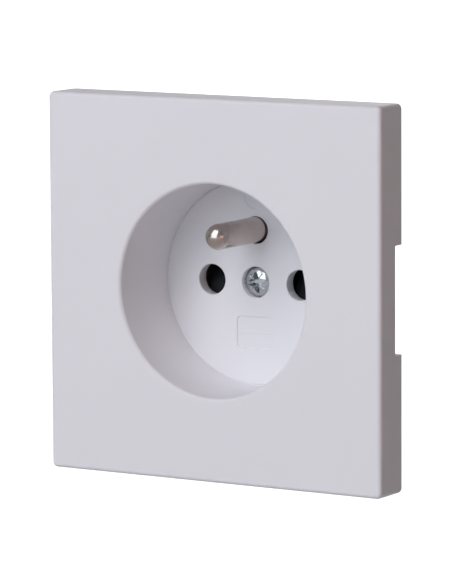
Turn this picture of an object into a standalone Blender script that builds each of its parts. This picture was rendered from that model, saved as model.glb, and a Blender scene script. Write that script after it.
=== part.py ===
"""Earthed socket outlet with a square cover, for a round flush box.

Every piece is drawn in the face plan: x to the right, y up, z out of the wall
towards the room, with the wall at z = 0. One empty stands the plan upright, so
the cover faces -Y and the works go into the wall along +Y.
"""

import math

import bmesh
import bpy
from mathutils import Matrix, Vector

MM = 0.001

# Fits
SEAT_GAP = 0.3 * MM
FACE_OVERLAP = 0.4 * MM
CUT_MARGIN = 1.0 * MM

# Square cover plate
PLATE_SIDE = 71.0 * MM
PLATE_DEPTH = 8.0 * MM
PLATE_CORNER_RADIUS = 2.0 * MM
PLATE_EDGE_RADIUS = 0.8 * MM
PLATE_SKIN = 2.0 * MM
PLATE_WALL = 1.8 * MM
PLATE_INNER_CORNER_RADIUS = 0.8 * MM
NOTCH_LENGTH = 20.0 * MM
NOTCH_DEPTH = 2.5 * MM
RIB_OFFSET = 11.0 * MM
RIB_THICKNESS = 1.0 * MM

# Round recess for the plug
RECESS_LIP_RADIUS = 19.8 * MM
RECESS_FLOOR_RADIUS = 19.4 * MM
RECESS_DEPTH = 15.8 * MM
RECESS_LIP_ROUNDING = 0.7 * MM
RECESS_FLOOR_FILLET = 0.5 * MM
CUP_WALL = 1.7 * MM
CUP_FLOOR = 1.4 * MM
CUP_BACK_ROUNDING = 0.8 * MM
RECESS_SEGMENTS = 80

# Shallow panel and moulding mark on the recess floor
PANEL_WIDTH = 7.7 * MM
PANEL_HEIGHT = 6.1 * MM
PANEL_DROP = 9.6 * MM
PANEL_SINK = 0.2 * MM
PANEL_DIVIDER = 0.35 * MM
PANEL_DIVIDER_HEIGHT = 0.08 * MM
PANEL_CORNER_RADIUS = 0.6 * MM
MARK_RADIUS = 2.3 * MM
MARK_HEIGHT = 16.0 * MM
MARK_SINK = 0.08 * MM

# Plug contacts and earth pin
CONTACT_SPACING = 19.0 * MM
CONTACT_HOLE_RADIUS = 2.95 * MM
HOLE_COLLAR_WALL = 0.6 * MM
HOLE_COLLAR_LENGTH = 1.5 * MM
PLUG_PIN_LENGTH = 19.0 * MM
PLUG_PIN_RADIUS = 2.4 * MM
EARTH_PIN_HEIGHT = 10.0 * MM
EARTH_PIN_RADIUS = 2.4 * MM
EARTH_PIN_TIP_INSET = 0.3 * MM
EARTH_PIN_CLEARANCE = 0.3 * MM
EARTH_PIN_COLLAR_RADIUS = 3.5 * MM
EARTH_PIN_COLLAR_HEIGHT = 2.0 * MM
EARTH_PIN_SPIGOT_RADIUS = 1.9 * MM
EARTH_PIN_HEAD_RADIUS = 2.7 * MM
EARTH_PIN_HEAD_HEIGHT = 0.8 * MM
EARTH_PIN_HEAD_CHAMFER = 0.6 * MM

# Cover screw, its seat in the cover and its nut
SCREW_HEAD_RADIUS = 2.75 * MM
SCREW_HEAD_HEIGHT = 2.2 * MM
SCREW_HEAD_RIM = 1.0 * MM
SCREW_SHANK_RADIUS = 1.7 * MM
SCREW_SHANK_LENGTH = 13.0 * MM
SCREW_TIP_CHAMFER = 0.5 * MM
SCREW_WELL_RADIUS = 2.95 * MM
SCREW_WELL_DEPTH = 2.6 * MM
SCREW_HOLE_RADIUS = 2.1 * MM
BOSS_WALL = 1.6 * MM
BOSS_FLOOR = 1.5 * MM
CROSS_SPAN = 4.4 * MM
CROSS_WIDTH = 0.95 * MM
CROSS_DEPTH = 1.6 * MM
CROSS_TAPER = 0.5
CROSS_TURN = 7.0
NUT_SIDE = 6.4 * MM
NUT_HEIGHT = 2.6 * MM
NUT_CORNER_RADIUS = 0.4 * MM

# Spring shutter behind the contact holes
SHUTTER_COVER_THICKNESS = 1.4 * MM
SHUTTER_THICKNESS = 4.4 * MM
SHUTTER_ARM_HALF_WIDTH = 3.5 * MM
SHUTTER_BLADE_OVERLAP = 0.35 * MM
SHUTTER_RAMP_EDGE = 0.9 * MM
SHUTTER_TRAVEL = 6.8 * MM
SHUTTER_BRIDGE_HEIGHT = 4.0 * MM
SHUTTER_BOSS_CLEARANCE = 0.8 * MM
SPRING_POCKET_DEPTH = 2.0 * MM
SPRING_POCKET_HALF_WIDTH = 1.55 * MM
SPRING_COIL_RADIUS = 1.1 * MM
SPRING_WIRE_RADIUS = 0.16 * MM
SPRING_TURNS = 7
SPRING_POINTS_PER_TURN = 12
SPRING_BLOCK_LENGTH = 3.4 * MM
HOOK_HALF_WIDTH = 2.6 * MM
HOOK_THICKNESS = 1.0 * MM
HOOK_LENGTH = 3.6 * MM
HOOK_BARB = 0.9 * MM
HOOK_BARB_HEIGHT = 1.5 * MM
HOOK_BARB_STEP = 0.4 * MM

# Plate over the contacts
CONTACT_COVER_THICKNESS = 1.2 * MM
CONTACT_COVER_HOLE_RADIUS = 3.0 * MM
STOP_RIB_THICKNESS = 1.2 * MM
GUARD_WALL = 1.0 * MM
GUARD_CLEARANCE = 0.6 * MM
GUARD_HEIGHT = 3.2 * MM

# Brass strips
STRIP_THICKNESS = 0.8 * MM
STRIP_HALF_WIDTH = 3.0 * MM
STRIP_BEND_RADIUS = 0.9 * MM
LEAF_GRIP = 0.05 * MM
LEAF_BELLY = 0.6 * MM
LEAF_FLARE = 1.2 * MM
LEAF_NECK_DEPTH = 2.4 * MM
LEAF_SLIT_HALF_WIDTH = 0.5 * MM
LEAF_SLIT_END = 3.0 * MM
PIN_END_CLEARANCE = 0.5 * MM
STRAP_HALF_WIDTH = 3.2 * MM

# Screw terminals
TERMINAL_HALF_WIDTH = 3.5 * MM
TERMINAL_HEIGHT = 5.4 * MM
TERMINAL_LENGTH = 7.2 * MM
TERMINAL_OFFSET = 15.7 * MM
TERMINAL_CORNER_RADIUS = 0.4 * MM
WIRE_TUNNEL_RADIUS = 1.9 * MM
WIRE_FUNNEL_RADIUS = 2.8 * MM
WIRE_FUNNEL_DEPTH = 1.0 * MM
TERMINAL_SCREW_RADIUS = 1.7 * MM
TERMINAL_SCREW_LENGTH = 2.9 * MM
TERMINAL_SCREW_HEAD_RADIUS = 2.8 * MM
TERMINAL_SCREW_HEAD_HEIGHT = 1.8 * MM
DRIVER_SLOT_WIDTH = 0.8 * MM
DRIVER_SLOT_DEPTH = 0.9 * MM

# Moulded base
BASE_WALL = 1.8 * MM
BASE_BACK = 1.5 * MM
BASE_CORNER_RADIUS = 1.8 * MM
BASE_BACK_ROUNDING = 0.8 * MM
EAR_INSET = 0.3 * MM
EAR_HALF_HEIGHT = 7.0 * MM
EAR_THICKNESS = 2.6 * MM
EAR_CORNER_RADIUS = 1.5 * MM
GUSSET_THICKNESS = 1.4 * MM
GUSSET_DEPTH = 6.0 * MM
STEP_CORNER_RADIUS = 0.8 * MM
CHANNEL_HALF_WIDTH = 3.4 * MM

# Steel support frame
FRAME_THICKNESS = 1.2 * MM
FRAME_CLEARANCE = 0.4 * MM
FRAME_CORNER_CHAMFER = 9.0 * MM
FRAME_BEND_RADIUS = 1.4 * MM
FRAME_ARM_HALF_WIDTH = 6.6 * MM
FRAME_FOOT_DEPTH = 10.8 * MM
FRAME_FOOT_REACH = 5.6 * MM
FRAME_ARM_CLEARANCE = 0.2 * MM
FIXING_EDGE = 3.3 * MM
FIXING_SLOT_RADIUS = 1.9 * MM
FIXING_SLOT_LENGTH = 8.0 * MM
KEYHOLE_RADIUS = 2.8 * MM
KEYHOLE_INSET = 0.4 * MM
CORNER_HOLE_RADIUS = 1.7 * MM
CORNER_HOLE_EDGE = 7.8 * MM

# Rivets that hold the frame's feet to the base
RIVET_RADIUS = 1.1 * MM
RIVET_HEAD_RADIUS = 1.8 * MM
RIVET_HEAD_HEIGHT = 0.7 * MM
RIVET_SPREAD = 4.2 * MM

# Heights out of the wall that several pieces share
FRONT_Z = PLATE_DEPTH
FLOOR_Z = FRONT_Z - RECESS_DEPTH
CUP_BACK_Z = FLOOR_Z - CUP_FLOOR
SCREW_SEAT_Z = FLOOR_Z - SCREW_WELL_DEPTH
BOSS_END_Z = SCREW_SEAT_Z - BOSS_FLOOR
BOSS_RADIUS = SCREW_WELL_RADIUS + BOSS_WALL
HOLE_COLLAR_RADIUS = CONTACT_HOLE_RADIUS + HOLE_COLLAR_WALL
SHUTTER_COVER_HOLE_RADIUS = HOLE_COLLAR_RADIUS + SEAT_GAP
WORKS_FRONT_Z = CUP_BACK_Z - SEAT_GAP
SHUTTER_COVER_BACK_Z = WORKS_FRONT_Z - SHUTTER_COVER_THICKNESS
BASE_FRONT_Z = SHUTTER_COVER_BACK_Z - SEAT_GAP
SHUTTER_FRONT_Z = SHUTTER_COVER_BACK_Z - SEAT_GAP
SHUTTER_BACK_Z = SHUTTER_FRONT_Z - SHUTTER_THICKNESS
CONTACT_COVER_FRONT_Z = SHUTTER_BACK_Z - SEAT_GAP
CONTACT_COVER_BACK_Z = CONTACT_COVER_FRONT_Z - CONTACT_COVER_THICKNESS
CAVITY_FLOOR_Z = CONTACT_COVER_BACK_Z - SEAT_GAP
STRIP_FRONT_Z = CAVITY_FLOOR_Z - SEAT_GAP
STRIP_BACK_Z = STRIP_FRONT_Z - STRIP_THICKNESS
STRIP_MIDDLE_Z = STRIP_FRONT_Z - STRIP_THICKNESS / 2
WEB_FRONT_Z = FLOOR_Z - PLUG_PIN_LENGTH - PIN_END_CLEARANCE
WEB_MIDDLE_Z = WEB_FRONT_Z - STRIP_THICKNESS / 2
CHAMBER_FLOOR_Z = WEB_FRONT_Z - STRIP_THICKNESS - SEAT_GAP
BASE_BACK_Z = CHAMBER_FLOOR_Z - BASE_BACK
TERMINAL_FRONT_Z = STRIP_BACK_Z - SEAT_GAP
TERMINAL_BACK_Z = TERMINAL_FRONT_Z - TERMINAL_LENGTH
TERMINAL_MIDDLE_Z = (TERMINAL_FRONT_Z + TERMINAL_BACK_Z) / 2

# Places across the face
CONTACT_X = CONTACT_SPACING / 2
PLATE_HALF = PLATE_SIDE / 2
PLATE_INNER_HALF = PLATE_HALF - PLATE_WALL
FRAME_HALF = PLATE_INNER_HALF - FRAME_CLEARANCE
BLADE_HALF_HEIGHT = CONTACT_HOLE_RADIUS + SHUTTER_BLADE_OVERLAP
SHUTTER_HALF_WIDTH = CONTACT_X + SHUTTER_ARM_HALF_WIDTH
BRIDGE_TOP_Y = -(BOSS_RADIUS + SHUTTER_BOSS_CLEARANCE)
BRIDGE_BOTTOM_Y = BRIDGE_TOP_Y - SHUTTER_BRIDGE_HEIGHT
CAVITY_HALF_WIDTH = SHUTTER_HALF_WIDTH + SEAT_GAP
CAVITY_BOTTOM_Y = BRIDGE_BOTTOM_Y - SHUTTER_TRAVEL - SPRING_BLOCK_LENGTH
CAVITY_HALF_HEIGHT = -CAVITY_BOTTOM_Y
BASE_HALF_WIDTH = CAVITY_HALF_WIDTH + BASE_WALL
BASE_HALF_HEIGHT = CAVITY_HALF_HEIGHT + BASE_WALL
SPRING_Z = (SHUTTER_FRONT_Z + SHUTTER_BACK_Z) / 2
SPRING_BOTTOM_Y = CAVITY_BOTTOM_Y + SEAT_GAP
SPRING_TOP_Y = BRIDGE_BOTTOM_Y + SPRING_POCKET_DEPTH - SEAT_GAP
TERMINAL_INNER_Y = TERMINAL_OFFSET - TERMINAL_HEIGHT / 2
TERMINAL_OUTER_Y = TERMINAL_OFFSET + TERMINAL_HEIGHT / 2
TERMINAL_SEAT_Y = TERMINAL_OUTER_Y + SEAT_GAP
LEAF_OUTER_Y = PLUG_PIN_RADIUS - LEAF_GRIP + STRIP_THICKNESS + max(LEAF_BELLY, LEAF_FLARE)
CHAMBER_HALF_HEIGHT = LEAF_OUTER_Y + SEAT_GAP
TERMINAL_POCKET_HALF_WIDTH = TERMINAL_HALF_WIDTH + SEAT_GAP
RIVET_Y_PLACES = (-RIVET_SPREAD, RIVET_SPREAD)


def recess_radius(height):
    """Radius of the recess's drafted wall at a height out of the wall."""
    share = (FRONT_Z - height) / RECESS_DEPTH
    return RECESS_LIP_RADIUS + share * (RECESS_FLOOR_RADIUS - RECESS_LIP_RADIUS)


# Turns that lay a sheet's outline into the upright planes, its thickness along x or y
ALONG_X = (math.radians(90), 0.0, math.radians(90))
ALONG_Y = (math.radians(90), 0.0, 0.0)

CUP_OUTER_RADIUS = max(recess_radius(0.0), recess_radius(CUP_BACK_Z)) + CUP_WALL
FRAME_ARM_X = CUP_OUTER_RADIUS + FRAME_CLEARANCE + FRAME_THICKNESS / 2
FRAME_OPENING_RADIUS = FRAME_ARM_X + FRAME_THICKNESS / 2 + FRAME_ARM_CLEARANCE
FOOT_FRONT_Z = -FRAME_FOOT_DEPTH
FOOT_BACK_Z = FOOT_FRONT_Z - FRAME_THICKNESS
EAR_FRONT_Z = FOOT_BACK_Z - SEAT_GAP
EAR_BACK_Z = EAR_FRONT_Z - EAR_THICKNESS
FOOT_INNER_X = FRAME_ARM_X - FRAME_FOOT_REACH
RIVET_X = (FOOT_INNER_X + FRAME_ARM_X - FRAME_BEND_RADIUS) / 2
EAR_TIP_X = FRAME_ARM_X - EAR_INSET
FIXING_X = FRAME_HALF - FIXING_EDGE
CORNER_HOLE_X = FRAME_HALF - CORNER_HOLE_EDGE


def clear_scene():
    """Remove every object and collection that the file starts with."""
    for item in list(bpy.data.objects):
        bpy.data.objects.remove(item, do_unlink=True)
    for collection in list(bpy.data.collections):
        bpy.data.collections.remove(collection)


def make_collection(name):
    """Add a collection to the scene and return it."""
    collection = bpy.data.collections.new(name)
    bpy.context.scene.collection.children.link(collection)
    return collection


def make_material(name, color, roughness, metallic=0.0):
    """Make a plain Principled material."""
    material = bpy.data.materials.new(name)
    material.use_nodes = True
    shader = material.node_tree.nodes["Principled BSDF"]
    shader.inputs["Base Color"].default_value = (*color, 1.0)
    shader.inputs["Roughness"].default_value = roughness
    shader.inputs["Metallic"].default_value = metallic
    return material


clear_scene()
PARTS = make_collection("earthed_socket")
CUTTERS = make_collection("cutters")
FACE_PLAN = bpy.data.objects.new("face_plan", None)
FACE_PLAN.rotation_euler = (math.radians(90), 0.0, 0.0)
PARTS.objects.link(FACE_PLAN)

WHITE_PLASTIC = make_material("white_plastic", (0.80, 0.80, 0.83), 0.38)
DARK_PLASTIC = make_material("dark_plastic", (0.045, 0.045, 0.05), 0.5)
SHUTTER_PLASTIC = make_material("shutter_plastic", (0.10, 0.10, 0.115), 0.45)
ZINC_STEEL = make_material("zinc_plated_steel", (0.62, 0.64, 0.66), 0.33, 1.0)
NICKEL_BRASS = make_material("nickel_plated_brass", (0.56, 0.52, 0.48), 0.25, 1.0)
BRASS = make_material("brass", (0.78, 0.60, 0.30), 0.3, 1.0)
SPRING_STEEL = make_material("spring_steel", (0.50, 0.50, 0.52), 0.3, 1.0)


def add_object(name, data, material=None):
    """Put data into the face plan as a part, or as a cutter without material."""
    item = bpy.data.objects.new(name, data)
    item.parent = FACE_PLAN
    if material is None:
        item.hide_render = True
        item.display_type = "WIRE"
        CUTTERS.objects.link(item)
    else:
        data.materials.append(material)
        PARTS.objects.link(item)
    return item


def mesh_from(bm, name):
    """Turn a bmesh into a mesh."""
    mesh = bpy.data.meshes.new(name)
    bm.to_mesh(mesh)
    bm.free()
    return mesh


def smooth(item, angle=35.0):
    """Shade a mesh smooth with sharp edges above an angle in degrees."""
    item.data.shade_smooth()
    item.data.set_sharp_from_angle(angle=math.radians(angle))
    return item


def edges_along(bm, axis):
    """Edges of a bmesh that run along one axis."""
    picked = []
    for edge in bm.edges:
        run = edge.verts[1].co - edge.verts[0].co
        if abs(run[axis]) > 0.999 * run.length:
            picked.append(edge)
    return picked


def edges_at_height(bm, height):
    """Edges of a bmesh whose two ends lie at one height."""
    tolerance = 0.001 * MM
    return [edge for edge in bm.edges if all(abs(v.co.z - height) < tolerance for v in edge.verts)]


def bevel_edges(bm, edges, radius, segments):
    """Round the given edges of a bmesh."""
    bmesh.ops.bevel(
        bm, geom=edges, offset=radius, segments=segments, profile=0.5, affect="EDGES"
    )


def box(name, xs, ys, zs, material=None, corner=0.0, front=0.0, back=0.0, steps=3):
    """A block between two planes each way, with rounded uprights, front and back edges."""
    bm = bmesh.new()
    bmesh.ops.create_cube(bm, size=1.0)
    size = Vector((xs[1] - xs[0], ys[1] - ys[0], zs[1] - zs[0]))
    middle = Vector((xs[0] + xs[1], ys[0] + ys[1], zs[0] + zs[1])) / 2
    bmesh.ops.scale(bm, vec=size, verts=bm.verts)
    bmesh.ops.translate(bm, vec=middle, verts=bm.verts)
    if corner:
        bevel_edges(bm, edges_along(bm, 2), corner, steps)
    if front:
        bevel_edges(bm, edges_at_height(bm, zs[1]), front, steps)
    if back:
        bevel_edges(bm, edges_at_height(bm, zs[0]), back, steps)
    return add_object(name, mesh_from(bm, name), material)


def cylinder(name, radius, zs, centre=(0.0, 0.0), material=None, segments=48, end_radius=None):
    """A round bar along z, or a cone frustum where the radius at its back differs."""
    bm = bmesh.new()
    back = radius if end_radius is None else end_radius
    bmesh.ops.create_cone(
        bm, cap_ends=True, segments=segments, radius1=back, radius2=radius, depth=zs[1] - zs[0]
    )
    middle = (centre[0], centre[1], (zs[0] + zs[1]) / 2)
    bmesh.ops.translate(bm, vec=middle, verts=bm.verts)
    return add_object(name, mesh_from(bm, name), material)


def arc(centre, radius, start, end, steps):
    """Points of an arc in a profile, from one angle to another in degrees."""
    points = []
    for step in range(steps + 1):
        angle = math.radians(start + (end - start) * step / steps)
        points.append((centre[0] + radius * math.cos(angle), centre[1] + radius * math.sin(angle)))
    return points


def turned(name, profile, material=None, segments=48, centre=(0.0, 0.0), closed=False):
    """A shape turned about z from (radius, height) points that run down its outer side."""
    mesh = bpy.data.meshes.new(name)
    edges = [(index, index + 1) for index in range(len(profile) - 1)]
    if closed:
        edges.append((len(profile) - 1, 0))
    mesh.from_pydata([(radius, 0.0, height) for radius, height in profile], edges, [])
    item = add_object(name, mesh, material)
    item.location = (centre[0], centre[1], 0.0)
    screw = item.modifiers.new("turn", "SCREW")
    screw.axis = "Z"
    screw.angle = math.tau
    screw.steps = segments
    screw.render_steps = segments
    screw.use_merge_vertices = True
    screw.merge_threshold = 0.005 * MM
    screw.use_smooth_shade = True
    return item


def plate(name, outline, zs, material=None, holes=()):
    """A flat sheet from one closed outline and its holes, between two heights."""
    curve = bpy.data.curves.new(name, "CURVE")
    curve.dimensions = "2D"
    curve.fill_mode = "BOTH"
    curve.extrude = (zs[1] - zs[0]) / 2
    for loop in (outline, *holes):
        spline = curve.splines.new("POLY")
        spline.points.add(len(loop) - 1)
        for point, (x, y) in zip(spline.points, loop):
            point.co = (x, y, 0.0, 1.0)
        spline.use_cyclic_u = True
    guide = bpy.data.objects.new(name + "_outline", curve)
    bpy.context.scene.collection.objects.link(guide)
    bpy.context.view_layer.update()
    evaluated = guide.evaluated_get(bpy.context.evaluated_depsgraph_get())
    mesh = bpy.data.meshes.new_from_object(evaluated)
    bpy.data.objects.remove(guide, do_unlink=True)
    bm = bmesh.new()
    bm.from_mesh(mesh)
    bmesh.ops.remove_doubles(bm, verts=bm.verts, dist=0.005 * MM)
    bmesh.ops.translate(bm, vec=(0.0, 0.0, (zs[0] + zs[1]) / 2), verts=bm.verts)
    bm.to_mesh(mesh)
    bm.free()
    mesh.name = name
    return add_object(name, mesh, material)


def strip(name, path, xs, thickness, bend_radius, material=None, bend_steps=3, plane="yz"):
    """A strip bent along a path of (across, z) points and as wide as xs, centred on the path."""
    points = rounded_path(path, bend_radius, bend_steps)
    bm = bmesh.new()
    verts = []
    for across, z in points:
        place = (xs[0], across, z) if plane == "yz" else (across, xs[0], z)
        verts.append(bm.verts.new(place))
    edges = [bm.edges.new(pair) for pair in zip(verts, verts[1:])]
    grown = bmesh.ops.extrude_edge_only(bm, edges=edges)["geom"]
    width = xs[1] - xs[0]
    shift = (width, 0.0, 0.0) if plane == "yz" else (0.0, width, 0.0)
    moved = [item for item in grown if isinstance(item, bmesh.types.BMVert)]
    bmesh.ops.translate(bm, vec=shift, verts=moved)
    item = add_object(name, mesh_from(bm, name), material)
    wall = item.modifiers.new("thickness", "SOLIDIFY")
    wall.thickness = thickness
    wall.offset = 0.0
    wall.use_even_offset = True
    return item


def rounded_path(points, radius, steps):
    """An open path with each inner corner replaced by an arc of the given radius."""
    result = [points[0]]
    for before, corner, after in zip(points, points[1:], points[2:]):
        corner = Vector(corner)
        back = (Vector(before) - corner).normalized()
        ahead = (Vector(after) - corner).normalized()
        half = back.angle(ahead) / 2
        reach = radius / math.tan(half)
        middle = corner + (back + ahead).normalized() * (radius / math.sin(half))
        start = corner + back * reach - middle
        turn = start.angle_signed(corner + ahead * reach - middle)
        for step in range(steps + 1):
            spin = Matrix.Rotation(-turn * step / steps, 2)
            result.append(tuple(middle + spin @ start))
    result.append(points[-1])
    return result


def combine(target, tool, operation="DIFFERENCE"):
    """Cut a tool from a target, or join it on, with an exact Boolean."""
    modifier = target.modifiers.new(operation.lower() + "_" + tool.name, "BOOLEAN")
    modifier.operation = operation
    modifier.solver = "EXACT"
    modifier.object = tool
    return target


def cut(target, *tools):
    """Cut each tool from a target."""
    for tool in tools:
        combine(target, tool)
    return target


def join(target, *tools):
    """Join each tool to a target."""
    for tool in tools:
        combine(target, tool, "UNION")
    return target


def mirrored(pair):
    """The same span on the other side of zero."""
    return (-pair[1], -pair[0])


def slot_outline(x, length, radius, steps=6):
    """Outline of an upright slot with round ends, at a distance to the right of the middle."""
    reach = length / 2 - radius
    return arc((x, reach), radius, 0, 180, steps) + arc((x, -reach), radius, 180, 360, steps)


def circle_outline(centre, radius, steps):
    """Outline of a round hole."""
    return arc(centre, radius, 0, 360 * (steps - 1) / steps, steps - 1)


def cover_body():
    """Square shell of the cover: a rounded block, hollow from behind, with its ribs."""
    span = (-PLATE_HALF, PLATE_HALF)
    hollow = (-PLATE_INNER_HALF, PLATE_INNER_HALF)
    body = box(
        "front_cover", span, span, (0.0, FRONT_Z), WHITE_PLASTIC,
        corner=PLATE_CORNER_RADIUS, front=PLATE_EDGE_RADIUS, steps=4,
    )
    cut(body, box(
        "cover_hollow", hollow, hollow, (-CUT_MARGIN, FRONT_Z - PLATE_SKIN),
        corner=PLATE_INNER_CORNER_RADIUS, steps=2,
    ))
    rib_back = FRAME_THICKNESS + FRAME_CLEARANCE
    rib_z = (rib_back, FRONT_Z - PLATE_SKIN + FACE_OVERLAP)
    start_radius = recess_radius(rib_back) + CUP_WALL / 2
    start = math.sqrt(start_radius ** 2 - RIB_OFFSET ** 2)
    reach = (start, PLATE_INNER_HALF + FACE_OVERLAP)
    edge = (RIB_OFFSET - RIB_THICKNESS / 2, RIB_OFFSET + RIB_THICKNESS / 2)
    for number, across in enumerate((edge, mirrored(edge))):
        for side, along in enumerate((reach, mirrored(reach))):
            join(body, box(f"cover_rib_x_{number}_{side}", along, across, rib_z))
            join(body, box(f"cover_rib_y_{number}_{side}", across, along, rib_z))
    return body


def cup_outside():
    """Outside of the cup with the boss that the cover screw pulls on."""
    top = FRONT_Z - PLATE_SKIN / 2
    back = CUP_BACK_Z
    outer = recess_radius(back) + CUP_WALL
    rounding = arc((outer - CUP_BACK_ROUNDING, back + CUP_BACK_ROUNDING), CUP_BACK_ROUNDING, 0, -90, 3)
    profile = [(0.0, top), (recess_radius(top) + CUP_WALL, top), *rounding]
    profile += [(BOSS_RADIUS, back), (BOSS_RADIUS, BOSS_END_Z), (0.0, BOSS_END_Z)]
    return turned("cup_outside", profile, segments=RECESS_SEGMENTS)


def recess_cutter():
    """Space of the recess, with its rounded lip, floor fillet and screw well."""
    lip = RECESS_LIP_ROUNDING
    lip_radius = recess_radius(FRONT_Z - lip)
    fillet = RECESS_FLOOR_FILLET
    floor_radius = recess_radius(FLOOR_Z + fillet)
    profile = [(0.0, FRONT_Z + CUT_MARGIN), (lip_radius + lip, FRONT_Z + CUT_MARGIN)]
    profile += arc((lip_radius + lip, FRONT_Z - lip), lip, 90, 180, 4)
    profile += arc((floor_radius - fillet, FLOOR_Z + fillet), fillet, 0, -90, 3)
    profile += [(SCREW_WELL_RADIUS, FLOOR_Z), (SCREW_WELL_RADIUS, SCREW_SEAT_Z)]
    profile += [(SCREW_HOLE_RADIUS, SCREW_SEAT_Z), (SCREW_HOLE_RADIUS, BOSS_END_Z - CUT_MARGIN)]
    profile.append((0.0, BOSS_END_Z - CUT_MARGIN))
    return turned("recess_space", profile, segments=RECESS_SEGMENTS)


def sink_panel(body):
    """Sink the shallow bare panel under the screw, and leave the low divider across it."""
    half_height = PANEL_HEIGHT / 2
    across = (-PANEL_WIDTH / 2, PANEL_WIDTH / 2)
    upright = (-PANEL_DROP - half_height, -PANEL_DROP + half_height)
    bottom = FLOOR_Z - PANEL_SINK
    depth = (bottom, FLOOR_Z + CUT_MARGIN)
    cut(body, box("panel", across, upright, depth, corner=PANEL_CORNER_RADIUS, steps=3))
    reach = PANEL_WIDTH / 2 + FACE_OVERLAP
    rib = (-PANEL_DROP - PANEL_DIVIDER / 2, -PANEL_DROP + PANEL_DIVIDER / 2)
    height = (bottom - FACE_OVERLAP, bottom + PANEL_DIVIDER_HEIGHT)
    join(body, box("panel_divider", (-reach, reach), rib, height))


def make_front_cover():
    """One-piece cover: square plate, drafted round cup, holes, notches and panel."""
    body = cover_body()
    join(body, cup_outside())
    cut(body, recess_cutter())
    collar_end = CUP_BACK_Z - HOLE_COLLAR_LENGTH
    collar = (collar_end, CUP_BACK_Z + FACE_OVERLAP)
    through = (collar_end - CUT_MARGIN, FLOOR_Z + CUT_MARGIN)
    for name, x in (("left", -CONTACT_X), ("right", CONTACT_X)):
        join(body, cylinder(f"hole_collar_{name}", HOLE_COLLAR_RADIUS, collar, (x, 0.0)))
        cut(body, cylinder(f"contact_hole_{name}", CONTACT_HOLE_RADIUS, through, (x, 0.0)))
    pin_hole = EARTH_PIN_RADIUS + EARTH_PIN_CLEARANCE
    cut(body, cylinder("earth_pin_hole", pin_hole, through, (0.0, EARTH_PIN_HEIGHT)))
    side = (PLATE_INNER_HALF - CUT_MARGIN, PLATE_HALF + CUT_MARGIN)
    length = (-NOTCH_LENGTH / 2, NOTCH_LENGTH / 2)
    for name, across in (("right", side), ("left", mirrored(side))):
        cut(body, box(f"notch_{name}", across, length, (-CUT_MARGIN, NOTCH_DEPTH)))
    sink_panel(body)
    sink = (FLOOR_Z - MARK_SINK, FLOOR_Z + CUT_MARGIN)
    cut(body, cylinder("moulding_mark", MARK_RADIUS, sink, (0.0, MARK_HEIGHT)))
    return body


def make_cover_screw():
    """Pan-head screw with a tapered cross recess, its head sunk in the well."""
    underside = SCREW_SEAT_Z + SEAT_GAP
    rim = underside + SCREW_HEAD_RIM
    dome = SCREW_HEAD_HEIGHT - SCREW_HEAD_RIM
    profile = []
    for step in range(7):
        angle = math.radians(90 * (1 - step / 6))
        profile.append((SCREW_HEAD_RADIUS * math.cos(angle), rim + dome * math.sin(angle)))
    profile[0] = (0.0, rim + dome)
    end = underside - SCREW_SHANK_LENGTH
    profile += [(SCREW_HEAD_RADIUS, underside), (SCREW_SHANK_RADIUS, underside)]
    profile += [(SCREW_SHANK_RADIUS, end + SCREW_TIP_CHAMFER)]
    profile += [(SCREW_SHANK_RADIUS - SCREW_TIP_CHAMFER, end), (0.0, end)]
    screw = turned("cover_screw", profile, ZINC_STEEL, segments=32)
    top = rim + dome
    for number in range(2):
        cut(screw, cross_blade(f"cross_blade_{number}", top, CROSS_TURN + 90 * number))
    return screw


def cross_blade(name, top, turn):
    """One wing of the cross recess, as long as its span at the head's top and shorter below."""
    bm = bmesh.new()
    bmesh.ops.create_cube(bm, size=1.0)
    height = CROSS_DEPTH + CUT_MARGIN
    low_span = CROSS_SPAN * CROSS_TAPER
    high_span = low_span + (CROSS_SPAN - low_span) * height / CROSS_DEPTH
    bmesh.ops.scale(bm, vec=(high_span, CROSS_WIDTH, height), verts=bm.verts)
    low = [vert for vert in bm.verts if vert.co.z < 0.0]
    bmesh.ops.scale(bm, vec=(low_span / high_span, 1.0, 1.0), verts=low)
    bmesh.ops.translate(bm, vec=(0.0, 0.0, top - CROSS_DEPTH + height / 2), verts=bm.verts)
    bmesh.ops.rotate(
        bm, cent=(0.0, 0.0, 0.0), matrix=Matrix.Rotation(math.radians(turn), 3, "Z"), verts=bm.verts
    )
    return add_object(name, mesh_from(bm, name))


def make_earth_pin():
    """Round earth pin with a domed tip, a collar on the contact cover and a riveted end."""
    tip = FRONT_Z - EARTH_PIN_TIP_INSET
    radius = EARTH_PIN_RADIUS
    collar_back = CONTACT_COVER_FRONT_Z + SEAT_GAP
    collar_front = collar_back + EARTH_PIN_COLLAR_HEIGHT
    head_front = STRIP_BACK_Z - SEAT_GAP
    head_back = head_front - EARTH_PIN_HEAD_HEIGHT
    profile = arc((0.0, tip - radius), radius, 90, 0, 7)
    profile[0] = (0.0, tip)
    profile += [(radius, collar_front), (EARTH_PIN_COLLAR_RADIUS, collar_front)]
    profile += [(EARTH_PIN_COLLAR_RADIUS, collar_back), (EARTH_PIN_SPIGOT_RADIUS, collar_back)]
    profile += [(EARTH_PIN_SPIGOT_RADIUS, head_front), (EARTH_PIN_HEAD_RADIUS, head_front)]
    profile += [(EARTH_PIN_HEAD_RADIUS - EARTH_PIN_HEAD_CHAMFER, head_back), (0.0, head_back)]
    return turned(
        "earth_pin", profile, NICKEL_BRASS, segments=32, centre=(0.0, EARTH_PIN_HEIGHT)
    )


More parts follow.
